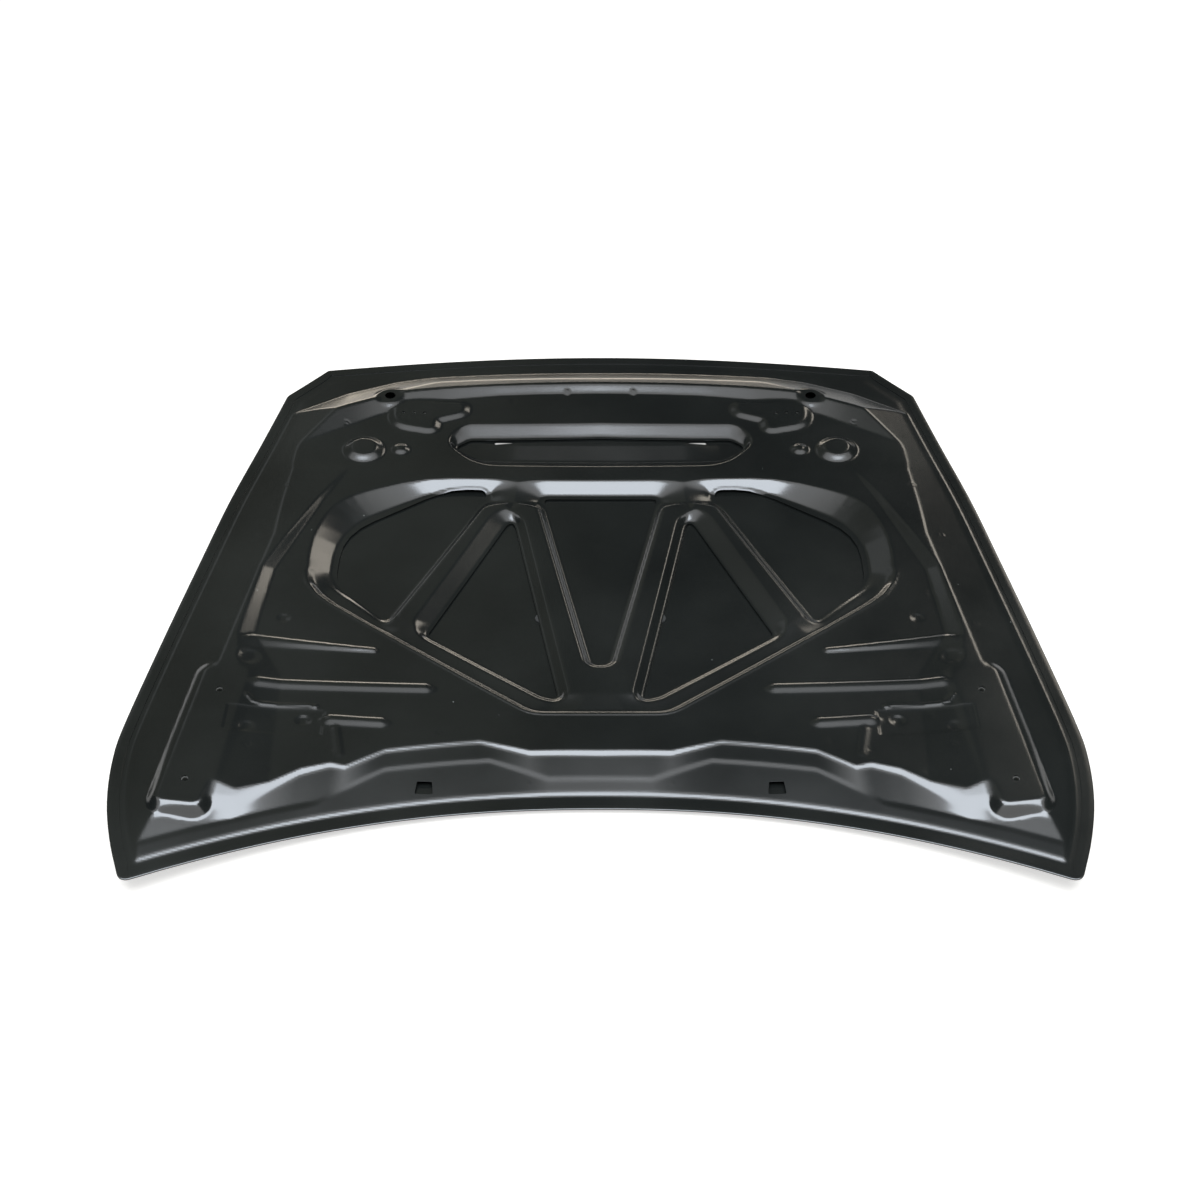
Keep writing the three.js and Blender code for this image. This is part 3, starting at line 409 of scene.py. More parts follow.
def middle_level(x, y):
    """Height of the frame inside its edge channels, over the skin."""
    level = lerp(PLATEAU_LEVEL, FRONT_LEVEL, ramp((y - FRONT_BLEND_Y) / FRONT_BLEND))
    to_edge = distance(basin, x, y)
    away = [-distance(o, x, y) for o in (side_opening, rear_opening, centre_opening)]
    clears = np.sort(away, axis=0)
    past_rim = np.maximum(clears[0] - RIM_WIDTH, 0)
    between_outer = ramp((away[2] - away[0]) / RIB_BLEND + 0.5) * ramp((y - LONG_WALL_FROM_Y) / RIB_BLEND)
    walls = (RIB_WALL, lerp(RIB_WALL, RIB_LONG_WALL, between_outer), RIB_WALL)
    rib_share = np.min([ramp((a - RIM_WIDTH) / wall) for a, wall in zip(away, walls)], axis=0)
    rib = lerp(RIM_LEVEL, RIB_LEVEL, rib_share)
    inside = np.maximum(to_edge, 0)
    between = ramp((inside - clears[1]) / RIB_BLEND + 0.5)
    share = (inside / (inside + past_rim + TINY) - BAND_SHARE) / (1 - 2 * BAND_SHARE)
    drop = np.minimum(PLATEAU_LEVEL - RIM_LEVEL, BAND_STEEPEST * (inside + past_rim))
    slope = PLATEAU_LEVEL - drop * ramp(share)
    wide = np.maximum(lerp(RIM_LEVEL, rib, between), slope)
    band = lerp(RIM_LEVEL, RIM_LEVEL + BASIN_BAND, ramp(past_rim / BASIN_BAND_WIDTH))
    steep = lerp(PLATEAU_LEVEL, band, ramp(inside / BASIN_STEP))
    rib_end = ramp((inside - BASIN_STEP) / BASIN_BAND_WIDTH)
    near = np.where(inside < BASIN_STEP, steep, lerp(band, np.maximum(rib, band), rib_end))
    in_basin = lerp(wide, near, ramp((BASIN_NEAR_Y - y) / BASIN_NEAR_BLEND))
    level = np.where(to_edge > 0, in_basin, level)
    in_recess = np.maximum(distance(recess, x, y), 0)
    from_hole = np.maximum(-distance(outlet_hole, x, y) - RIM_WIDTH, 0)
    level = lerp(level, RIM_LEVEL, in_recess / (in_recess + from_hole + TINY))
    for start, end, height, *halves in BEADS:
        half = np.interp(x, [end[0], start[0]], halves[::-1])
        line_y = np.interp(x, [end[0], start[0]], [end[1], start[1]])
        half = half * lerp(BEAD_NEAR_SHARE, BEAD_FAR_SHARE, ramp((y - line_y) / BEAD_BLEND + 0.5))
        level = level + height * ramp(BEAD_STEEPNESS * (1 - from_line(x, y, start, end) / half))
    step_y = [p[1] for p in reversed(STEP_LINE)]
    step_x = np.interp(y, step_y, [p[0] for p in reversed(STEP_LINE)])
    step_width = np.interp(y, step_y, STEP_WIDTHS[::-1])
    rise = ramp((x - step_x + step_width) / step_width)
    fade = ramp((STEP_LINE[0][1] - y) / STEP_END_RAMP)
    level = level + (RAIL_LEVEL - PLATEAU_LEVEL) * rise * fade
    from_seat = np.hypot(x - SEAT_CENTRE[0], y - SEAT_CENTRE[1]) - SEAT_RADIUS
    return lerp(np.maximum(SEAT_LEVEL, level), level, ramp(from_seat / SEAT_SLOPE))


def frame_relief(x, y):
    """How far the frame's lower face is over the crown, for the right half."""
    ahead = front_edge(x) - y
    aside = distance(outer, x, y)
    behind = (y - rear_edge(x)) / rear_stretch(x)
    flange = HEM_GAP + FLANGE_LIFT * ramp((aside - SIDE_FLANGE) / FLANGE_LIFT_WIDTH)
    foot, crest, fall = (line_at(t, x) for t in (FRONT_FOOT, FRONT_CREST, FRONT_FALL))
    level = middle_level(x, y)
    level = np.where(ahead < fall, lerp(CREST_LEVEL, level, ramp((ahead - crest) / (fall - crest))), level)
    front_rise = lerp(flange, CREST_LEVEL, ramp((ahead - foot) / (crest - foot)))
    side_rise = lerp(flange, RAIL_LEVEL, ramp((aside - SIDE_FLANGE) / SIDE_RAMP))
    shelf_start = REAR_FLANGE + REAR_FOOT
    shelf_end, wall_end = line_at(SHELF_LINE, x), line_at(COWL_LINE, x)
    crest_step, crest_width = line_at(CREST_STEP, x), line_at(CREST_STEP_WIDTH, x)
    # From the rear edge inwards: a foot, the shelf, a small step, the wall and the step of its crest
    at = [
        (REAR_FLANGE, flange),
        (shelf_start, SHELF_FOOT_LEVEL),
        (shelf_end - SHELF_STEP_WIDTH, line_at(SHELF_LEVELS, x)),
        (shelf_end, line_at(SHELF_LEVELS, x) + line_at(SHELF_STEP, x)),
        (wall_end - crest_width, PLATEAU_LEVEL - crest_step),
        (wall_end, PLATEAU_LEVEL),
    ]
    rear_rise = flange
    for (start, _), (end, height) in zip(at, at[1:]):
        rear_rise = lerp(rear_rise, height, ramp((behind - start) / (end - start)))
    rear_rise = rear_rise + CREST_SLOPE * np.maximum(behind - wall_end, 0)
    level = np.minimum.reduce([level, front_rise, side_rise, rear_rise])
    base = crown(x, y)
    height = base + SKIN_SHEET + level
    middle = np.mean(HINGE_BOLTS, axis=0)
    pads = [
        (facet(middle, RAIL_LEVEL + SKIN_SHEET, x, y), -distance(hinge_pad, x, y), HINGE_PAD_BLEND),
        (
            facet(STRIKER_BOLTS[1], STRIKER_PAD_LEVEL + SKIN_SHEET, x, y),
            -distance(striker_pad, x, y),
            STRIKER_PAD_BLEND,
        ),
        (
            facet(BUFFER_HOLE, BUFFER_PAD_LEVEL + SKIN_SHEET, x, y),
            np.hypot(x - BUFFER_HOLE[0], y - BUFFER_HOLE[1]) - BUFFER_PAD_RADIUS,
            BUFFER_PAD_BLEND,
        ),
    ]
    for face, away, blend in pads:
        height = lerp(face, height, ramp(away / blend))
    return np.maximum(height - base, SKIN_SHEET + flange)


def frame_details(x, y, level):
    """Small pressings, sharper than the main creases, added to the frame's relief."""
    for line, height, half in SMALL_BEADS:
        away = np.min([from_line(x, y, a, b) for a, b in zip(line, line[1:])], axis=0)
        level = level + height * smooth(1 - away / half)
    outer_x, inner_x, rear_y, front_y, depth, wall = SHALLOW
    inside = np.minimum.reduce([outer_x - x, x - inner_x, y - rear_y, front_y - y])
    level = level - depth * smooth(inside / wall)
    for (mx, my), height, radius, wall in DIMPLES:
        level = level + height * smooth(1 - (np.hypot(x - mx, y - my) - radius) / wall)
    for mx, my in WELDS:
        off = np.hypot(x - mx, y - my)
        level = level - WELD_DEPTH * np.exp(-(((off - WELD_RADIUS) / WELD_RING) ** 2))
    lip = LIP_HEIGHT * smooth(1 - np.abs(distance(basin, x, y)) / LIP_HALF_WIDTH)
    return level + lip * ramp((BASIN_NEAR_Y - y) / BASIN_NEAR_BLEND)


def skin_relief(x, y):
    """How far the tongue of the air outlet lifts the skin."""
    along = ramp((y - TONGUE_FRONT + TONGUE_LENGTH) / TONGUE_LENGTH)
    past = ramp((TONGUE_FRONT + SLIT_DEPTH - y) / SLIT_DEPTH)
    side = ramp((TONGUE_HALF_WIDTH - np.abs(x)) / TONGUE_SIDE_RAMP)
    return TONGUE_RISE * along * past * side


def blurred(values, sigma):
    reach = math.ceil(3 * sigma)
    kernel = np.exp(-0.5 * (np.arange(-reach, reach + 1) / sigma) ** 2)
    kernel /= kernel.sum()
    for axis in (0, 1):
        pad = [(reach, reach) if k == axis else (0, 0) for k in (0, 1)]
        wide = np.pad(values, pad, mode="edge")
        count = values.shape[axis]
        values = sum(w * wide.take(range(i, i + count), axis) for i, w in enumerate(kernel))
    return values


class Relief:
    """A smooth height over the crown, kept on a raster of the right half and read at any place."""

    def __init__(self, function, blur, details=None, values=None):
        self.x = np.arange(RASTER_X[0], RASTER_X[1] + RASTER, RASTER)
        self.y = np.arange(RASTER_Y[0], RASTER_Y[1] + RASTER, RASTER)
        if values is not None:
            self.values = values
            return
        gx, gy = np.meshgrid(self.x, self.y)
        self.values = blurred(function(np.abs(gx), gy), blur / RASTER)
        if details:
            self.values = details(np.abs(gx), gy, self.values)

    def at(self, x, y):
        u = (np.abs(x) - self.x[0]) / RASTER
        v = (y - self.y[0]) / RASTER
        iu = np.clip(np.floor(u).astype(int), 1, len(self.x) - 3)
        iv = np.clip(np.floor(v).astype(int), 1, len(self.y) - 3)
        wu, wv = self.weights(u - iu), self.weights(v - iv)
        total = 0
        for a in range(4):
            row = sum(wu[b] * self.values[iv + a - 1, iu + b - 1] for b in range(4))
            total = total + wv[a] * row
        return total

    @staticmethod
    def weights(t):
        return (
            0.5 * (-(t**3) + 2 * t**2 - t),
            0.5 * (3 * t**3 - 5 * t**2 + 2),
            0.5 * (-3 * t**3 + 4 * t**2 + t),
            0.5 * (t**3 - t**2),
        )

    def height(self, x, y):
        return crown(x, y) + self.at(x, y)

    def normal(self, x, y):
        slope_x = (self.height(x + RASTER, y) - self.height(x - RASTER, y)) / (2 * RASTER)
        slope_y = (self.height(x, y + RASTER) - self.height(x, y - RASTER)) / (2 * RASTER)
        normal = np.column_stack([-slope_x, -slope_y, np.ones(len(x))])
        return normal / np.linalg.norm(normal, axis=1)[:, None]


def highest_near(values, reach):
    """The largest value within a square around each raster place."""
    for axis in (0, 1):
        pad = [(reach, reach) if k == axis else (0, 0) for k in (0, 1)]
        wide = np.pad(values, pad, mode="edge")
        count = values.shape[axis]
        values = np.max([wide.take(range(i, i + count), axis) for i in range(2 * reach + 1)], axis=0)
    return values


def graded_places(relief, values, keep, levels):
    """Raster places, close together where the sheet bends and wide apart where it is flat.

    levels gives a step and a reach in raster places, and the flatness that the next step must keep."""
    v = values
    bend = np.zeros_like(v)
    bend[2:-2, 2:-2] = np.max(
        [
            np.abs(v[4:, 2:-2] - 2 * v[2:-2, 2:-2] + v[:-4, 2:-2]),
            np.abs(v[2:-2, 4:] - 2 * v[2:-2, 2:-2] + v[2:-2, :-4]),
            np.abs(v[4:, 4:] - v[4:, :-4] - v[:-4, 4:] + v[:-4, :-4]) / 2,
        ],
        axis=0,
    ) / (2 * RASTER) ** 2
    column, row = np.meshgrid(np.arange(v.shape[1]), np.arange(v.shape[0]))
    zero = round(-relief.x[0] / RASTER)
    chosen = np.zeros(v.shape, bool)
    for step, reach, flatness in levels:
        on_grid = ((column - zero) % step == 0) & (row % step == 0)
        coarser = (2 * step * RASTER) ** 2 / 8
        needed = highest_near(bend, reach) * coarser > flatness if reach else True
        chosen |= on_grid & needed
    chosen &= keep & (column >= zero)
    x, y = relief.x[column[chosen]], relief.y[row[chosen]]
    right = np.column_stack([x, y])
    return np.vstack([right, right[x > 0] * (-1, 1)])


def dense(outline, spacing):
    """The outline with points at an even close spacing."""
    result = []
    for a, b in zip(outline, np.roll(outline, -1, 0)):
        parts = max(1, round(np.linalg.norm(b - a) / spacing))
        result += [lerp(a, b, k / parts) for k in range(parts)]
    return np.array(result)


def inward_normals(points):
    before = points - np.roll(points, 1, 0)
    after = np.roll(points, -1, 0) - points
    along = before / np.linalg.norm(before, axis=1)[:, None] + after / np.linalg.norm(after, axis=1)[:, None]
    along /= np.linalg.norm(along, axis=1)[:, None]
    return np.column_stack([-along[:, 1], along[:, 0]])


def triangulated(places, contours, clear):
    """Triangles inside the first contour and outside the others, over free places and the contours."""
    tree = kdtree.KDTree(sum(map(len, contours)))
    for i, (x, y) in enumerate(np.vstack(contours)):
        tree.insert((x, y, 0), i)
    tree.balance()
    free = [p for p in places if tree.find((p[0], p[1], 0))[2] > clear]
    points = np.vstack([*contours, free])
    edges = []
    start = 0
    for contour in contours:
        count = len(contour)
        edges += [(start + i, start + (i + 1) % count) for i in range(count)]
        start += count
    made = delaunay_2d_cdt([Vector(map(float, p)) for p in points], edges, [], 0, 1e-5)
    plan = np.array([tuple(p) for p in made[0]])
    source = [ids[0] if ids else -1 for ids in made[3]]
    cells = np.array(made[2])
    cx, cy = plan[cells].mean(axis=1).T
    inside = contains(contours[0], cx, cy)
    for hole in contours[1:]:
        inside &= ~contains(hole, cx, cy)
    cells = cells[inside]
    used, cells = np.unique(cells, return_inverse=True)
    cells = cells.reshape(-1, 3)
    (ax, ay), (bx, by), (cx, cy) = (plan[used][cells[:, k]].T for k in range(3))
    wrong = (bx - ax) * (cy - ay) - (cx - ax) * (by - ay) < 0
    cells[wrong] = cells[wrong][:, ::-1]
    return plan[used], cells, np.array(source)[used]


def borders(cells, count):
    """The directed edges that only one triangle has."""
    ways = np.vstack([cells[:, [0, 1]], cells[:, [1, 2]], cells[:, [2, 0]]])
    there = ways[:, 0] * count + ways[:, 1]
    back = ways[:, 1] * count + ways[:, 0]
    return ways[~np.isin(there, back)]


def place(points):
    return (np.asarray(points, float) + (0, PLAN_SHIFT, 0)) * MM


def piece(name, points, faces, material, stands_for, shaded=None):
    """A mesh of the given faces.

    shaded has the normals of the points of its first faces, and the number of those faces."""
    mesh = bpy.data.meshes.new(name)
    mesh.from_pydata(place(points).tolist(), [], faces)
    mesh.validate()
    mesh.shade_smooth()
    mesh.set_sharp_from_angle(angle=SHARP_ANGLE)
    if shaded and len(mesh.polygons) == len(faces):
        normals, count = shaded
        corners = np.concatenate(faces[:count])
        given = np.zeros((len(mesh.loops), 3))
        given[: len(corners)] = normals[corners]
        mesh.normals_split_custom_set(given.tolist())
    mesh.materials.append(material)
    made = bpy.data.objects.new(name, mesh)
    bpy.context.scene.collection.objects.link(made)
    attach(made, "root")
    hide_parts(stands_for)
    return made


def circle(middle, radius, sides):
    turn = 2 * math.pi * np.arange(sides) / sides
    return np.column_stack([middle[0] + radius * np.cos(turn), middle[1] + radius * np.sin(turn)])


def both_sides(outline):
    return [outline, flipped(outline)]


def clip_hole():
    x, y = CLIP_HOLE
    narrow = CLIP_HALF_WIDTH * CLIP_TAPER
    return rounded([
        (x - CLIP_HALF_WIDTH, y - CLIP_HALF_DEPTH, CLIP_CORNER),
        (x + CLIP_HALF_WIDTH, y - CLIP_HALF_DEPTH, CLIP_CORNER),
        (x + narrow, y + CLIP_HALF_DEPTH, CLIP_CORNER),
        (x - narrow, y + CLIP_HALF_DEPTH, CLIP_CORNER),
    ])


def lowest_near(values, reach):
    return -highest_near(-values, reach)


def ids_of(source, count):
    """Which vertex each contour point became."""
    found = np.full(count, -1)
    known = (source >= 0) & (source < count)
    found[source[known]] = np.flatnonzero(known)
    return found


def inner_frame(material):
    relief = Relief(frame_relief, CREASE_BLUR, frame_details)
    gx, gy = np.meshgrid(relief.x, relief.y)
    keep = distance(outer, gx, gy) > FRAME_EDGE_DEPTH
    for hole in (side_opening, rear_opening, centre_opening, outlet_hole):
        keep &= ~contains(hole, gx, gy)
    ring = dense(outer, HEM_SPACING)
    ring = ring + inward_normals(ring) * FRAME_EDGE_DEPTH
    holes = [centre_opening, outlet_hole]
    for outline in (side_opening, rear_opening, clip_hole()):
        holes += both_sides(outline)
    holes = [dense(hole, CONTOUR_SPACING) for hole in holes]
    round_holes = [(BUFFER_HOLE, BUFFER_HOLE_RADIUS, 24)]
    round_holes += [(bolt, BOLT_HOLE_RADIUS, 20) for bolt in HINGE_BOLTS]
    round_holes += [(bolt, STRIKER_HOLE_RADIUS, 14) for bolt in STRIKER_BOLTS]
    for middle, radius, sides in round_holes:
        holes += both_sides(circle(middle, radius, sides))
    contours = [ring, *holes]
    total = sum(map(len, contours))
    levels = [(1, 1, FINEST_FLATNESS), (2, 3, FLATNESS), (4, 5, FLATNESS), (8, 0, 0)]
    places = graded_places(relief, relief.values, keep, levels)
    plan, cells, source = triangulated(places, contours, CONTOUR_CLEARANCE)
    x, y = plan.T
    middle = np.column_stack([x, y, relief.height(x, y)])
    normals = relief.normal(x, y)
    top = middle + normals * FRAME_SHEET
    # The back of the sheet is meshed more coarsely, and kept under the front where it bends
    levels = [(4, 5, BACK_FLATNESS), (8, 0, 0)]
    places = graded_places(relief, relief.values, keep, levels)
    back_plan, back_cells, back_source = triangulated(places, contours, CONTOUR_CLEARANCE)
    x, y = back_plan.T
    lower = Relief(None, 0, values=lowest_near(relief.values, BACK_CLEARANCE) - BACK_DROP)
    on_edge = (back_source >= 0) & (back_source < total)
    level = np.where(on_edge, relief.at(x, y), lower.at(x, y))
    back = np.column_stack([x, y, crown(x, y) + level])
    count = len(plan)
    faces = cells.tolist() + (back_cells[:, ::-1] + count).tolist()
    below = ids_of(back_source, total) + count
    for p, q in borders(cells, count).tolist():
        faces.append((p, below[source[p]], below[source[q]], q))
    points = np.vstack([top, back])
    shaded = (normals, len(cells))
    return piece("frame_panel", points, faces, material, "inner_frame", shaded=shaded)


def hem_profile():
    """The two faces of the hem's bend, as distances in from the edge and heights over the crown."""
    outside, inside = HEM_STACK / 2, HEM_STACK / 2 - SKIN_SHEET
    bend = np.radians(np.linspace(-90, 90, 9))
    under = [(outside - outside * math.cos(a), outside + outside * math.sin(a)) for a in bend]
    back = [(outside - inside * math.cos(a), outside + inside * math.sin(a)) for a in bend[::-1]]
    return under, back


def outer_skin(material):
    relief = Relief(skin_relief, TONGUE_BLUR)
    gx, gy = np.meshgrid(relief.x, relief.y)
    keep = distance(outer, gx, gy) > SKIN_EDGE_DEPTH + 2
    edge = dense(outer, HEM_SPACING)
    inward = inward_normals(edge)
    ring = edge + inward * SKIN_EDGE_DEPTH
    middle, half = TONGUE_FRONT + SLIT_DEPTH / 2, SLIT_DEPTH / 2
    slit = rounded([
        (SLIT_HALF_WIDTH, middle - half, SLIT_CORNER), (SLIT_HALF_WIDTH, middle + half, SLIT_CORNER),
        (-SLIT_HALF_WIDTH, middle + half, SLIT_CORNER), (-SLIT_HALF_WIDTH, middle - half, SLIT_CORNER),
    ])
    contours = [ring, dense(slit, CONTOUR_SPACING)]
    levels = [(2, 3, FLATNESS), (4, 5, FLATNESS), (8, 0, 0)]
    places = graded_places(relief, relief.values, keep, levels)
    plan, cells, source = triangulated(places, contours, RING_CLEARANCE)
    x, y = plan.T
    low = np.column_stack([x, y, relief.height(x, y)])
    high = low + relief.normal(x, y) * SKIN_SHEET
    count = len(plan)
    faces = (cells + count).tolist() + cells[:, ::-1].tolist()
    points = [low, high]
    total = 2 * count
    stations = ids_of(source, len(edge))
    on_ring = (source >= 0) & (source < len(edge))
    width = hem_widths(edge, inward)
    under, back = hem_profile()
    rows = [low[stations]]
    for depth, up in under:
        rows.append(over_crown(edge + inward * depth, up))
    under_hem = HEM_STACK - SKIN_SHEET
    for share, up in ((0.5, HEM_STACK), (1, HEM_STACK), (1, under_hem), (0.5, under_hem)):
        rows.append(over_crown(edge + inward * (width * share)[:, None], up))
    for depth, up in back:
        rows.append(over_crown(edge + inward * depth, up))
    rows.append(high[stations])
    index = [stations]
    for row in rows[1:-1]:
        index.append(total + np.arange(len(row)))
        points.append(row)
        total += len(row)
    index.append(stations + count)
    for one, two in zip(index, index[1:]):
        ahead_one, ahead_two = np.roll(one, -1), np.roll(two, -1)
        faces += np.column_stack([one, ahead_one, ahead_two, two]).tolist()
    slit_edges = [(p, q) for p, q in borders(cells, count).tolist() if not (on_ring[p] and on_ring[q])]
    faces += [(p, q, q + count, p + count) for p, q in slit_edges]
    return piece("skin_panel", np.vstack(points), faces, material, "outer_skin")


def over_crown(plan, up):
    x, y = plan.T
    return np.column_stack([x, y, crown(x, y) + up])


def hem_widths(edge, inward):
    """The hem is as wide as fits: less at the tight corners, so that its cut edge never crosses itself."""
    width = np.full(len(edge), HEM_WIDTH)
    for _ in range(HEM_TRIES):
        tip = edge + inward * width[:, None]
        short = distance(outer, *tip.T) < HEM_FIT * width
        width[short] *= HEM_SHRINK
    even = width
    for _ in range(HEM_SMOOTHINGS):
        even = np.minimum(width, (np.roll(even, 1) + even + np.roll(even, -1)) / 3)
    return even


def new_material(name):
    made = bpy.data.materials.new(name)
    made.use_nodes = True
    nodes = made.node_tree.nodes
    return made, nodes, made.node_tree.links, nodes["Principled BSDF"]


def added(nodes, kind, **values):
    """A node with values for its inputs, whose names have _ for each space."""
    node = nodes.new(kind)
    for name, value in values.items():
        node.inputs[name.replace("_", " ")].default_value = value
    return node


def bumped(nodes, links, shader, grain, strength, depth):
    bump = added(nodes, "ShaderNodeBump", Strength=strength, Distance=depth)
    links.new(grain.outputs["Fac"], bump.inputs["Height"])
    links.new(bump.outputs["Normal"], shader.inputs["Normal"])


def primer_material():
    """Black primer with a cloudy gloss, a fine grain and a few light specks of dust."""
    made, nodes, links, shader = new_material("black_primer")
    shader.inputs["IOR"].default_value = 2.0
    place_node = nodes.new("ShaderNodeTexCoord")
    cloud = added(nodes, "ShaderNodeTexNoise", Scale=4.0, Detail=5.0)
    links.new(place_node.outputs["Object"], cloud.inputs["Vector"])
    tone = nodes.new("ShaderNodeValToRGB")
    tone.color_ramp.elements[0].position = 0.3
    tone.color_ramp.elements[0].color = (0.0066, 0.0077, 0.0071, 1)
    tone.color_ramp.elements[1].position = 0.75
    tone.color_ramp.elements[1].color = (0.0124, 0.0140, 0.0126, 1)
    links.new(cloud.outputs["Fac"], tone.inputs["Fac"])
    cells = added(nodes, "ShaderNodeTexVoronoi", Scale=26.0)
    links.new(place_node.outputs["Object"], cells.inputs["Vector"])
    near = nodes.new("ShaderNodeMath")
    near.operation = "LESS_THAN"
    near.inputs[1].default_value = 0.022
    links.new(cells.outputs["Distance"], near.inputs[0])
    channels = nodes.new("ShaderNodeSeparateColor")
    links.new(cells.outputs["Color"], channels.inputs["Color"])
    few = nodes.new("ShaderNodeMath")
    few.operation = "GREATER_THAN"
    few.inputs[1].default_value = 0.72
    links.new(channels.outputs["Red"], few.inputs[0])
    speck = nodes.new("ShaderNodeMath")
    speck.operation = "MULTIPLY"
    links.new(near.outputs["Value"], speck.inputs[0])
    links.new(few.outputs["Value"], speck.inputs[1])
    dusty = nodes.new("ShaderNodeMix")
    dusty.data_type = "RGBA"
    dusty.inputs["B"].default_value = (0.30, 0.31, 0.29, 1)
    links.new(speck.outputs["Value"], dusty.inputs["Factor"])
    links.new(tone.outputs["Color"], dusty.inputs["A"])
    links.new(dusty.outputs["Result"], shader.inputs["Base Color"])
    gloss = added(nodes, "ShaderNodeMapRange", From_Min=0.3, From_Max=0.7, To_Min=0.15, To_Max=0.21)
    links.new(cloud.outputs["Fac"], gloss.inputs["Value"])
    links.new(gloss.outputs["Result"], shader.inputs["Roughness"])
    grain = added(nodes, "ShaderNodeTexNoise", Scale=700.0, Detail=2.0)
    links.new(place_node.outputs["Object"], grain.inputs["Vector"])
    bumped(nodes, links, shader, grain, 0.12, 0.0002)
    return made


def metal_material():
    """Dull zinc plating."""
    made, nodes, links, shader = new_material("plated_steel")
    shader.inputs["Metallic"].default_value = 1.0
    shader.inputs["Roughness"].default_value = 0.38
    grain = added(nodes, "ShaderNodeTexNoise", Scale=300.0)
    tone = nodes.new("ShaderNodeValToRGB")
    tone.color_ramp.elements[0].color = (0.42, 0.42, 0.39, 1)
    tone.color_ramp.elements[1].color = (0.60, 0.60, 0.56, 1)
    links.new(grain.outputs["Fac"], tone.inputs["Fac"])
    links.new(tone.outputs["Color"], shader.inputs["Base Color"])
    return made


def sealant_material():
    """Dark grey rubbery sealant."""
    made, nodes, links, shader = new_material("sealant")
    shader.inputs["Base Color"].default_value = (0.030, 0.030, 0.029, 1)
    shader.inputs["Roughness"].default_value = 0.6
    grain = added(nodes, "ShaderNodeTexNoise", Scale=220.0)
    bumped(nodes, links, shader, grain, 0.3, 0.0005)
    return made


primer = primer_material()
inner_frame(primer)
outer_skin(primer)
carried_over = {"reinforcement": primer, "nut": metal_material(), "mastic": sealant_material()}
for name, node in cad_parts.items():
    for kind, material in carried_over.items():
        if kind in name:
            node.material_slots[0].material = material


# A card's colour, and its glow where glow is not nought, is a painted reflection: the cards are seen only in
# the object's gloss
def card_material(name, colour, glow):
    made, _, _, shader = new_material(name)
    shader.inputs["Base Color"].default_value = (*colour, 1)
    shader.inputs["Roughness"].default_value = 0.9
    shader.inputs["Emission Color"].default_value = (*colour, 1)
    shader.inputs["Emission Strength"].default_value = glow
    return made


def sheet_object(name, corners, material):
    mesh = bpy.data.meshes.new(name)
    mesh.from_pydata(corners, [], [(0, 1, 2, 3)])
    mesh.materials.append(material)
    made = bpy.data.objects.new(name, mesh)
    bpy.context.scene.collection.objects.link(made)
    return made


def floor_material():
    """White where the camera sees it lit, with the object's shadow kept."""
    made, nodes, links, shader = new_material("floor")
    shader.inputs["Base Color"].default_value = (0.70, 0.65, 0.58, 1)
    shader.inputs["Roughness"].default_value = 1.0
    shader.inputs["Specular IOR Level"].default_value = 0.0
    path = nodes.new("ShaderNodeLightPath")
    glow = added(nodes, "ShaderNodeEmission", Strength=0.6)
    none = added(nodes, "ShaderNodeEmission", Strength=0.0)
    pick = nodes.new("ShaderNodeMixShader")
    links.new(path.outputs["Is Camera Ray"], pick.inputs["Fac"])
    links.new(none.outputs["Emission"], pick.inputs[1])
    links.new(glow.outputs["Emission"], pick.inputs[2])
    add = nodes.new("ShaderNodeAddShader")
    links.new(shader.outputs["BSDF"], add.inputs[0])
    links.new(pick.outputs["Shader"], add.inputs[1])
    links.new(add.outputs["Shader"], nodes["Material Output"].inputs["Surface"])
    return made


FLOOR_HALF = 30.0
FLOOR_HEIGHT = -0.0006
floor_corners = [(-FLOOR_HALF, -FLOOR_HALF), (FLOOR_HALF, -FLOOR_HALF)]
floor_corners += [(FLOOR_HALF, FLOOR_HALF), (-FLOOR_HALF, FLOOR_HALF)]
sheet_object("floor", [(x, y, FLOOR_HEIGHT) for x, y in floor_corners], floor_material())

# Cards far behind and beside the object, seen only in its gloss, as painted reflections: dark cards for the
# room's dark side, and a faintly glowing card for its dim left
CARD_DISTANCE = 9.5
CARD_HALF_WIDTH = 18.0
CARD_LOW = 1.7
CARD_HIGH = 20.0
GLOW_CARD_TO_X = -0.3


def card(name, start, end, material):
    """An upright card over the line from start to end."""
    corners = [(*start, CARD_LOW), (*end, CARD_LOW), (*end, CARD_HIGH), (*start, CARD_HIGH)]
    made = sheet_object(name, corners, material)
    made.visible_camera = False
    made.visible_diffuse = False
    made.visible_shadow = False


# Painted reflections: dark cards that darken the object's gloss, and a faintly glowing card that lightens
# its gloss towards the far left
dark = card_material("dark_card", (0.02, 0.022, 0.022), 0.0)
reflection_glow = card_material("glowing_reflection_card", (0.05, 0.05, 0.04), 1.0)
far_left, far_right = (-CARD_HALF_WIDTH, CARD_DISTANCE), (CARD_HALF_WIDTH, CARD_DISTANCE)
near_left, near_right = (-CARD_HALF_WIDTH, -CARD_DISTANCE), (CARD_HALF_WIDTH, -CARD_DISTANCE)
glow_card_end = (GLOW_CARD_TO_X, CARD_DISTANCE)
card("dark_card_1", glow_card_end, far_right, dark)
card("dark_card_2", near_left, far_left, dark)
card("dark_card_3", far_right, near_right, dark)
card("glowing_reflection_card", far_left, glow_card_end, reflection_glow)


def softbox(name, location, target, size, power, colour):
    light = bpy.data.lights.new(name, "AREA")
    light.shape = "RECTANGLE"
    light.size, light.size_y = size
    light.energy = power
    light.color = colour
    made = bpy.data.objects.new(name, light)
    made.location = location
    made.rotation_euler = (Vector(target) - Vector(location)).to_track_quat("-Z", "Y").to_euler()
    bpy.context.scene.collection.objects.link(made)
    return made


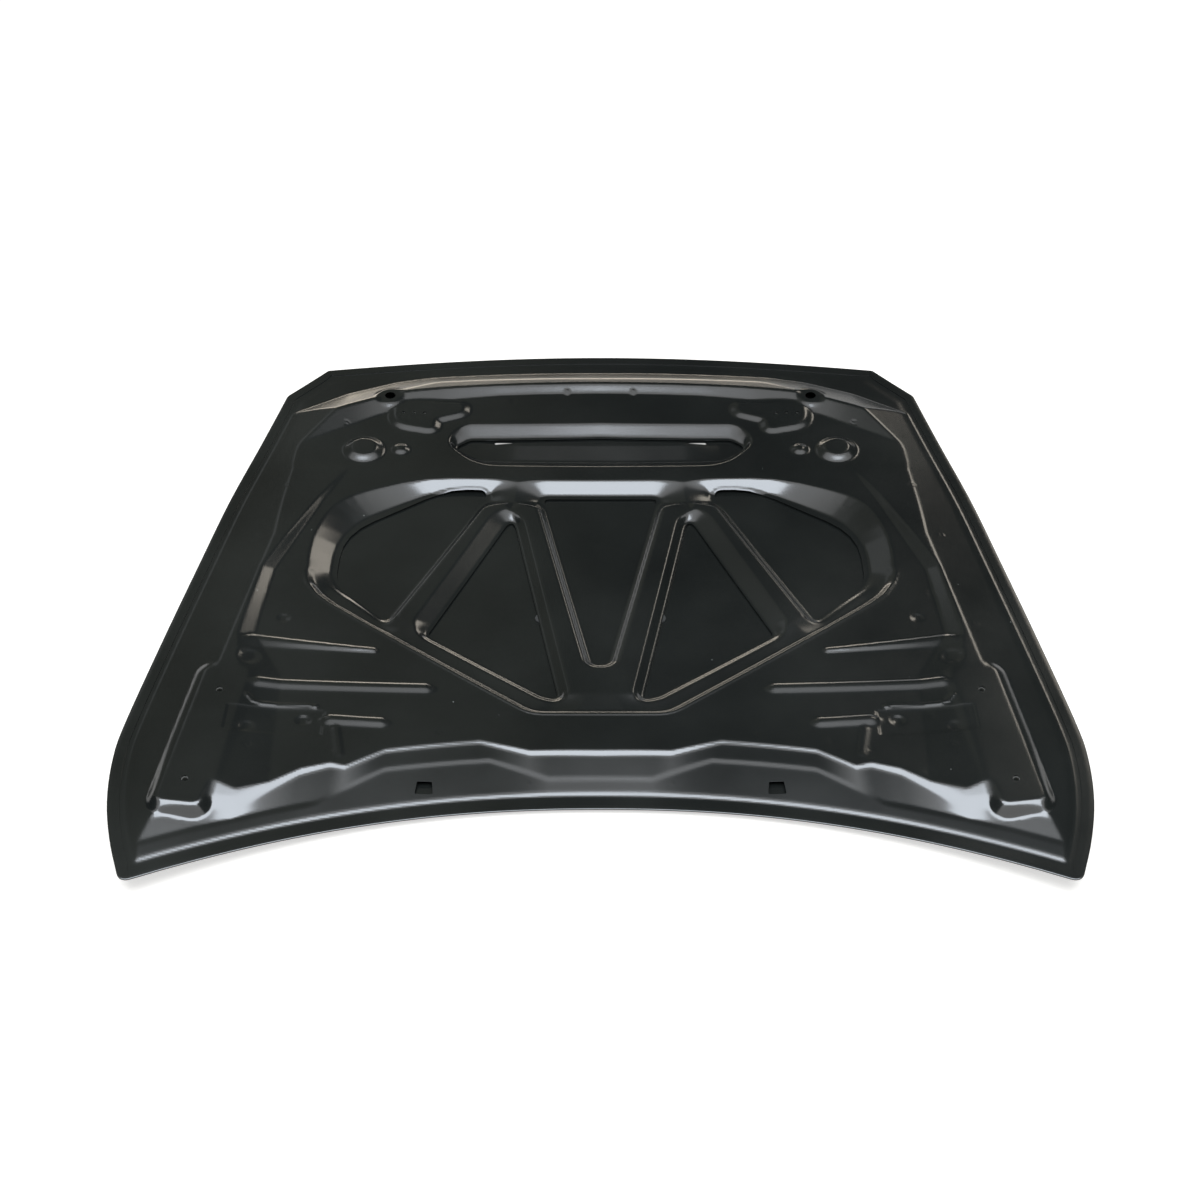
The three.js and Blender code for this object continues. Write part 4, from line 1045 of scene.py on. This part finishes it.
softbox("overhead", (0.0, -1.07, 3.6), (0, -1.07, 0), (4.2, 3.1), 216, (0.84, 0.91, 1.0))
softbox("overhead_far", (0.0, 1.0, 3.6), (0, 1.0, 0), (4.2, 1.0), 2.7, (0.84, 0.91, 1.0))
softbox("right_side", (3.5, 8.0, 6.1), (0, 0, 0), (1.4, 3.0), 31, (1.0, 0.92, 0.80))
softbox("left_side", (-3.5, 8.0, 6.1), (0, 0, 0), (1.4, 3.0), 3, (0.92, 0.96, 1.0))
softbox("low_far", (-0.6, 5.5, 0.4), (0, 0, 0.1), (3.2, 0.7), 18, (1.0, 0.86, 0.66))


def world_light(scene):
    """White to the camera and in gloss, and a dim fill for the rest."""
    scene.world = bpy.data.worlds.new("studio")
    scene.world.use_nodes = True
    nodes, links = scene.world.node_tree.nodes, scene.world.node_tree.links
    nodes.clear()
    path = nodes.new("ShaderNodeLightPath")
    seen = nodes.new("ShaderNodeMath")
    seen.operation = "MAXIMUM"
    links.new(path.outputs["Is Camera Ray"], seen.inputs[0])
    links.new(path.outputs["Is Glossy Ray"], seen.inputs[1])
    also = nodes.new("ShaderNodeMath")
    also.operation = "MAXIMUM"
    links.new(seen.outputs["Value"], also.inputs[0])
    links.new(path.outputs["Is Transmission Ray"], also.inputs[1])
    fill = added(nodes, "ShaderNodeBackground", Color=(0.9, 0.95, 1.0, 1), Strength=0.35)
    white = added(nodes, "ShaderNodeBackground", Strength=1.0)
    pick = nodes.new("ShaderNodeMixShader")
    links.new(also.outputs["Value"], pick.inputs["Fac"])
    links.new(fill.outputs["Background"], pick.inputs[1])
    links.new(white.outputs["Background"], pick.inputs[2])
    output = nodes.new("ShaderNodeOutputWorld")
    links.new(pick.outputs["Shader"], output.inputs["Surface"])


world_light(bpy.context.scene)
bpy.context.scene.view_settings.view_transform = "Standard"

# Camera at the photograph's place
CAMERA_PLACE = (-0.0008, -2.2962, 2.0443)
CAMERA_PITCH = 42.0
CAMERA_LENS = 53.4
view = bpy.data.cameras.new("camera")
view.lens = CAMERA_LENS
view.sensor_width = 36.0
view.clip_start = 0.05
view.clip_end = 200.0
camera = bpy.data.objects.new("camera", view)
camera.location = CAMERA_PLACE
camera.rotation_euler = (math.radians(90 - CAMERA_PITCH), 0, 0)
bpy.context.scene.collection.objects.link(camera)
bpy.context.scene.camera = camera
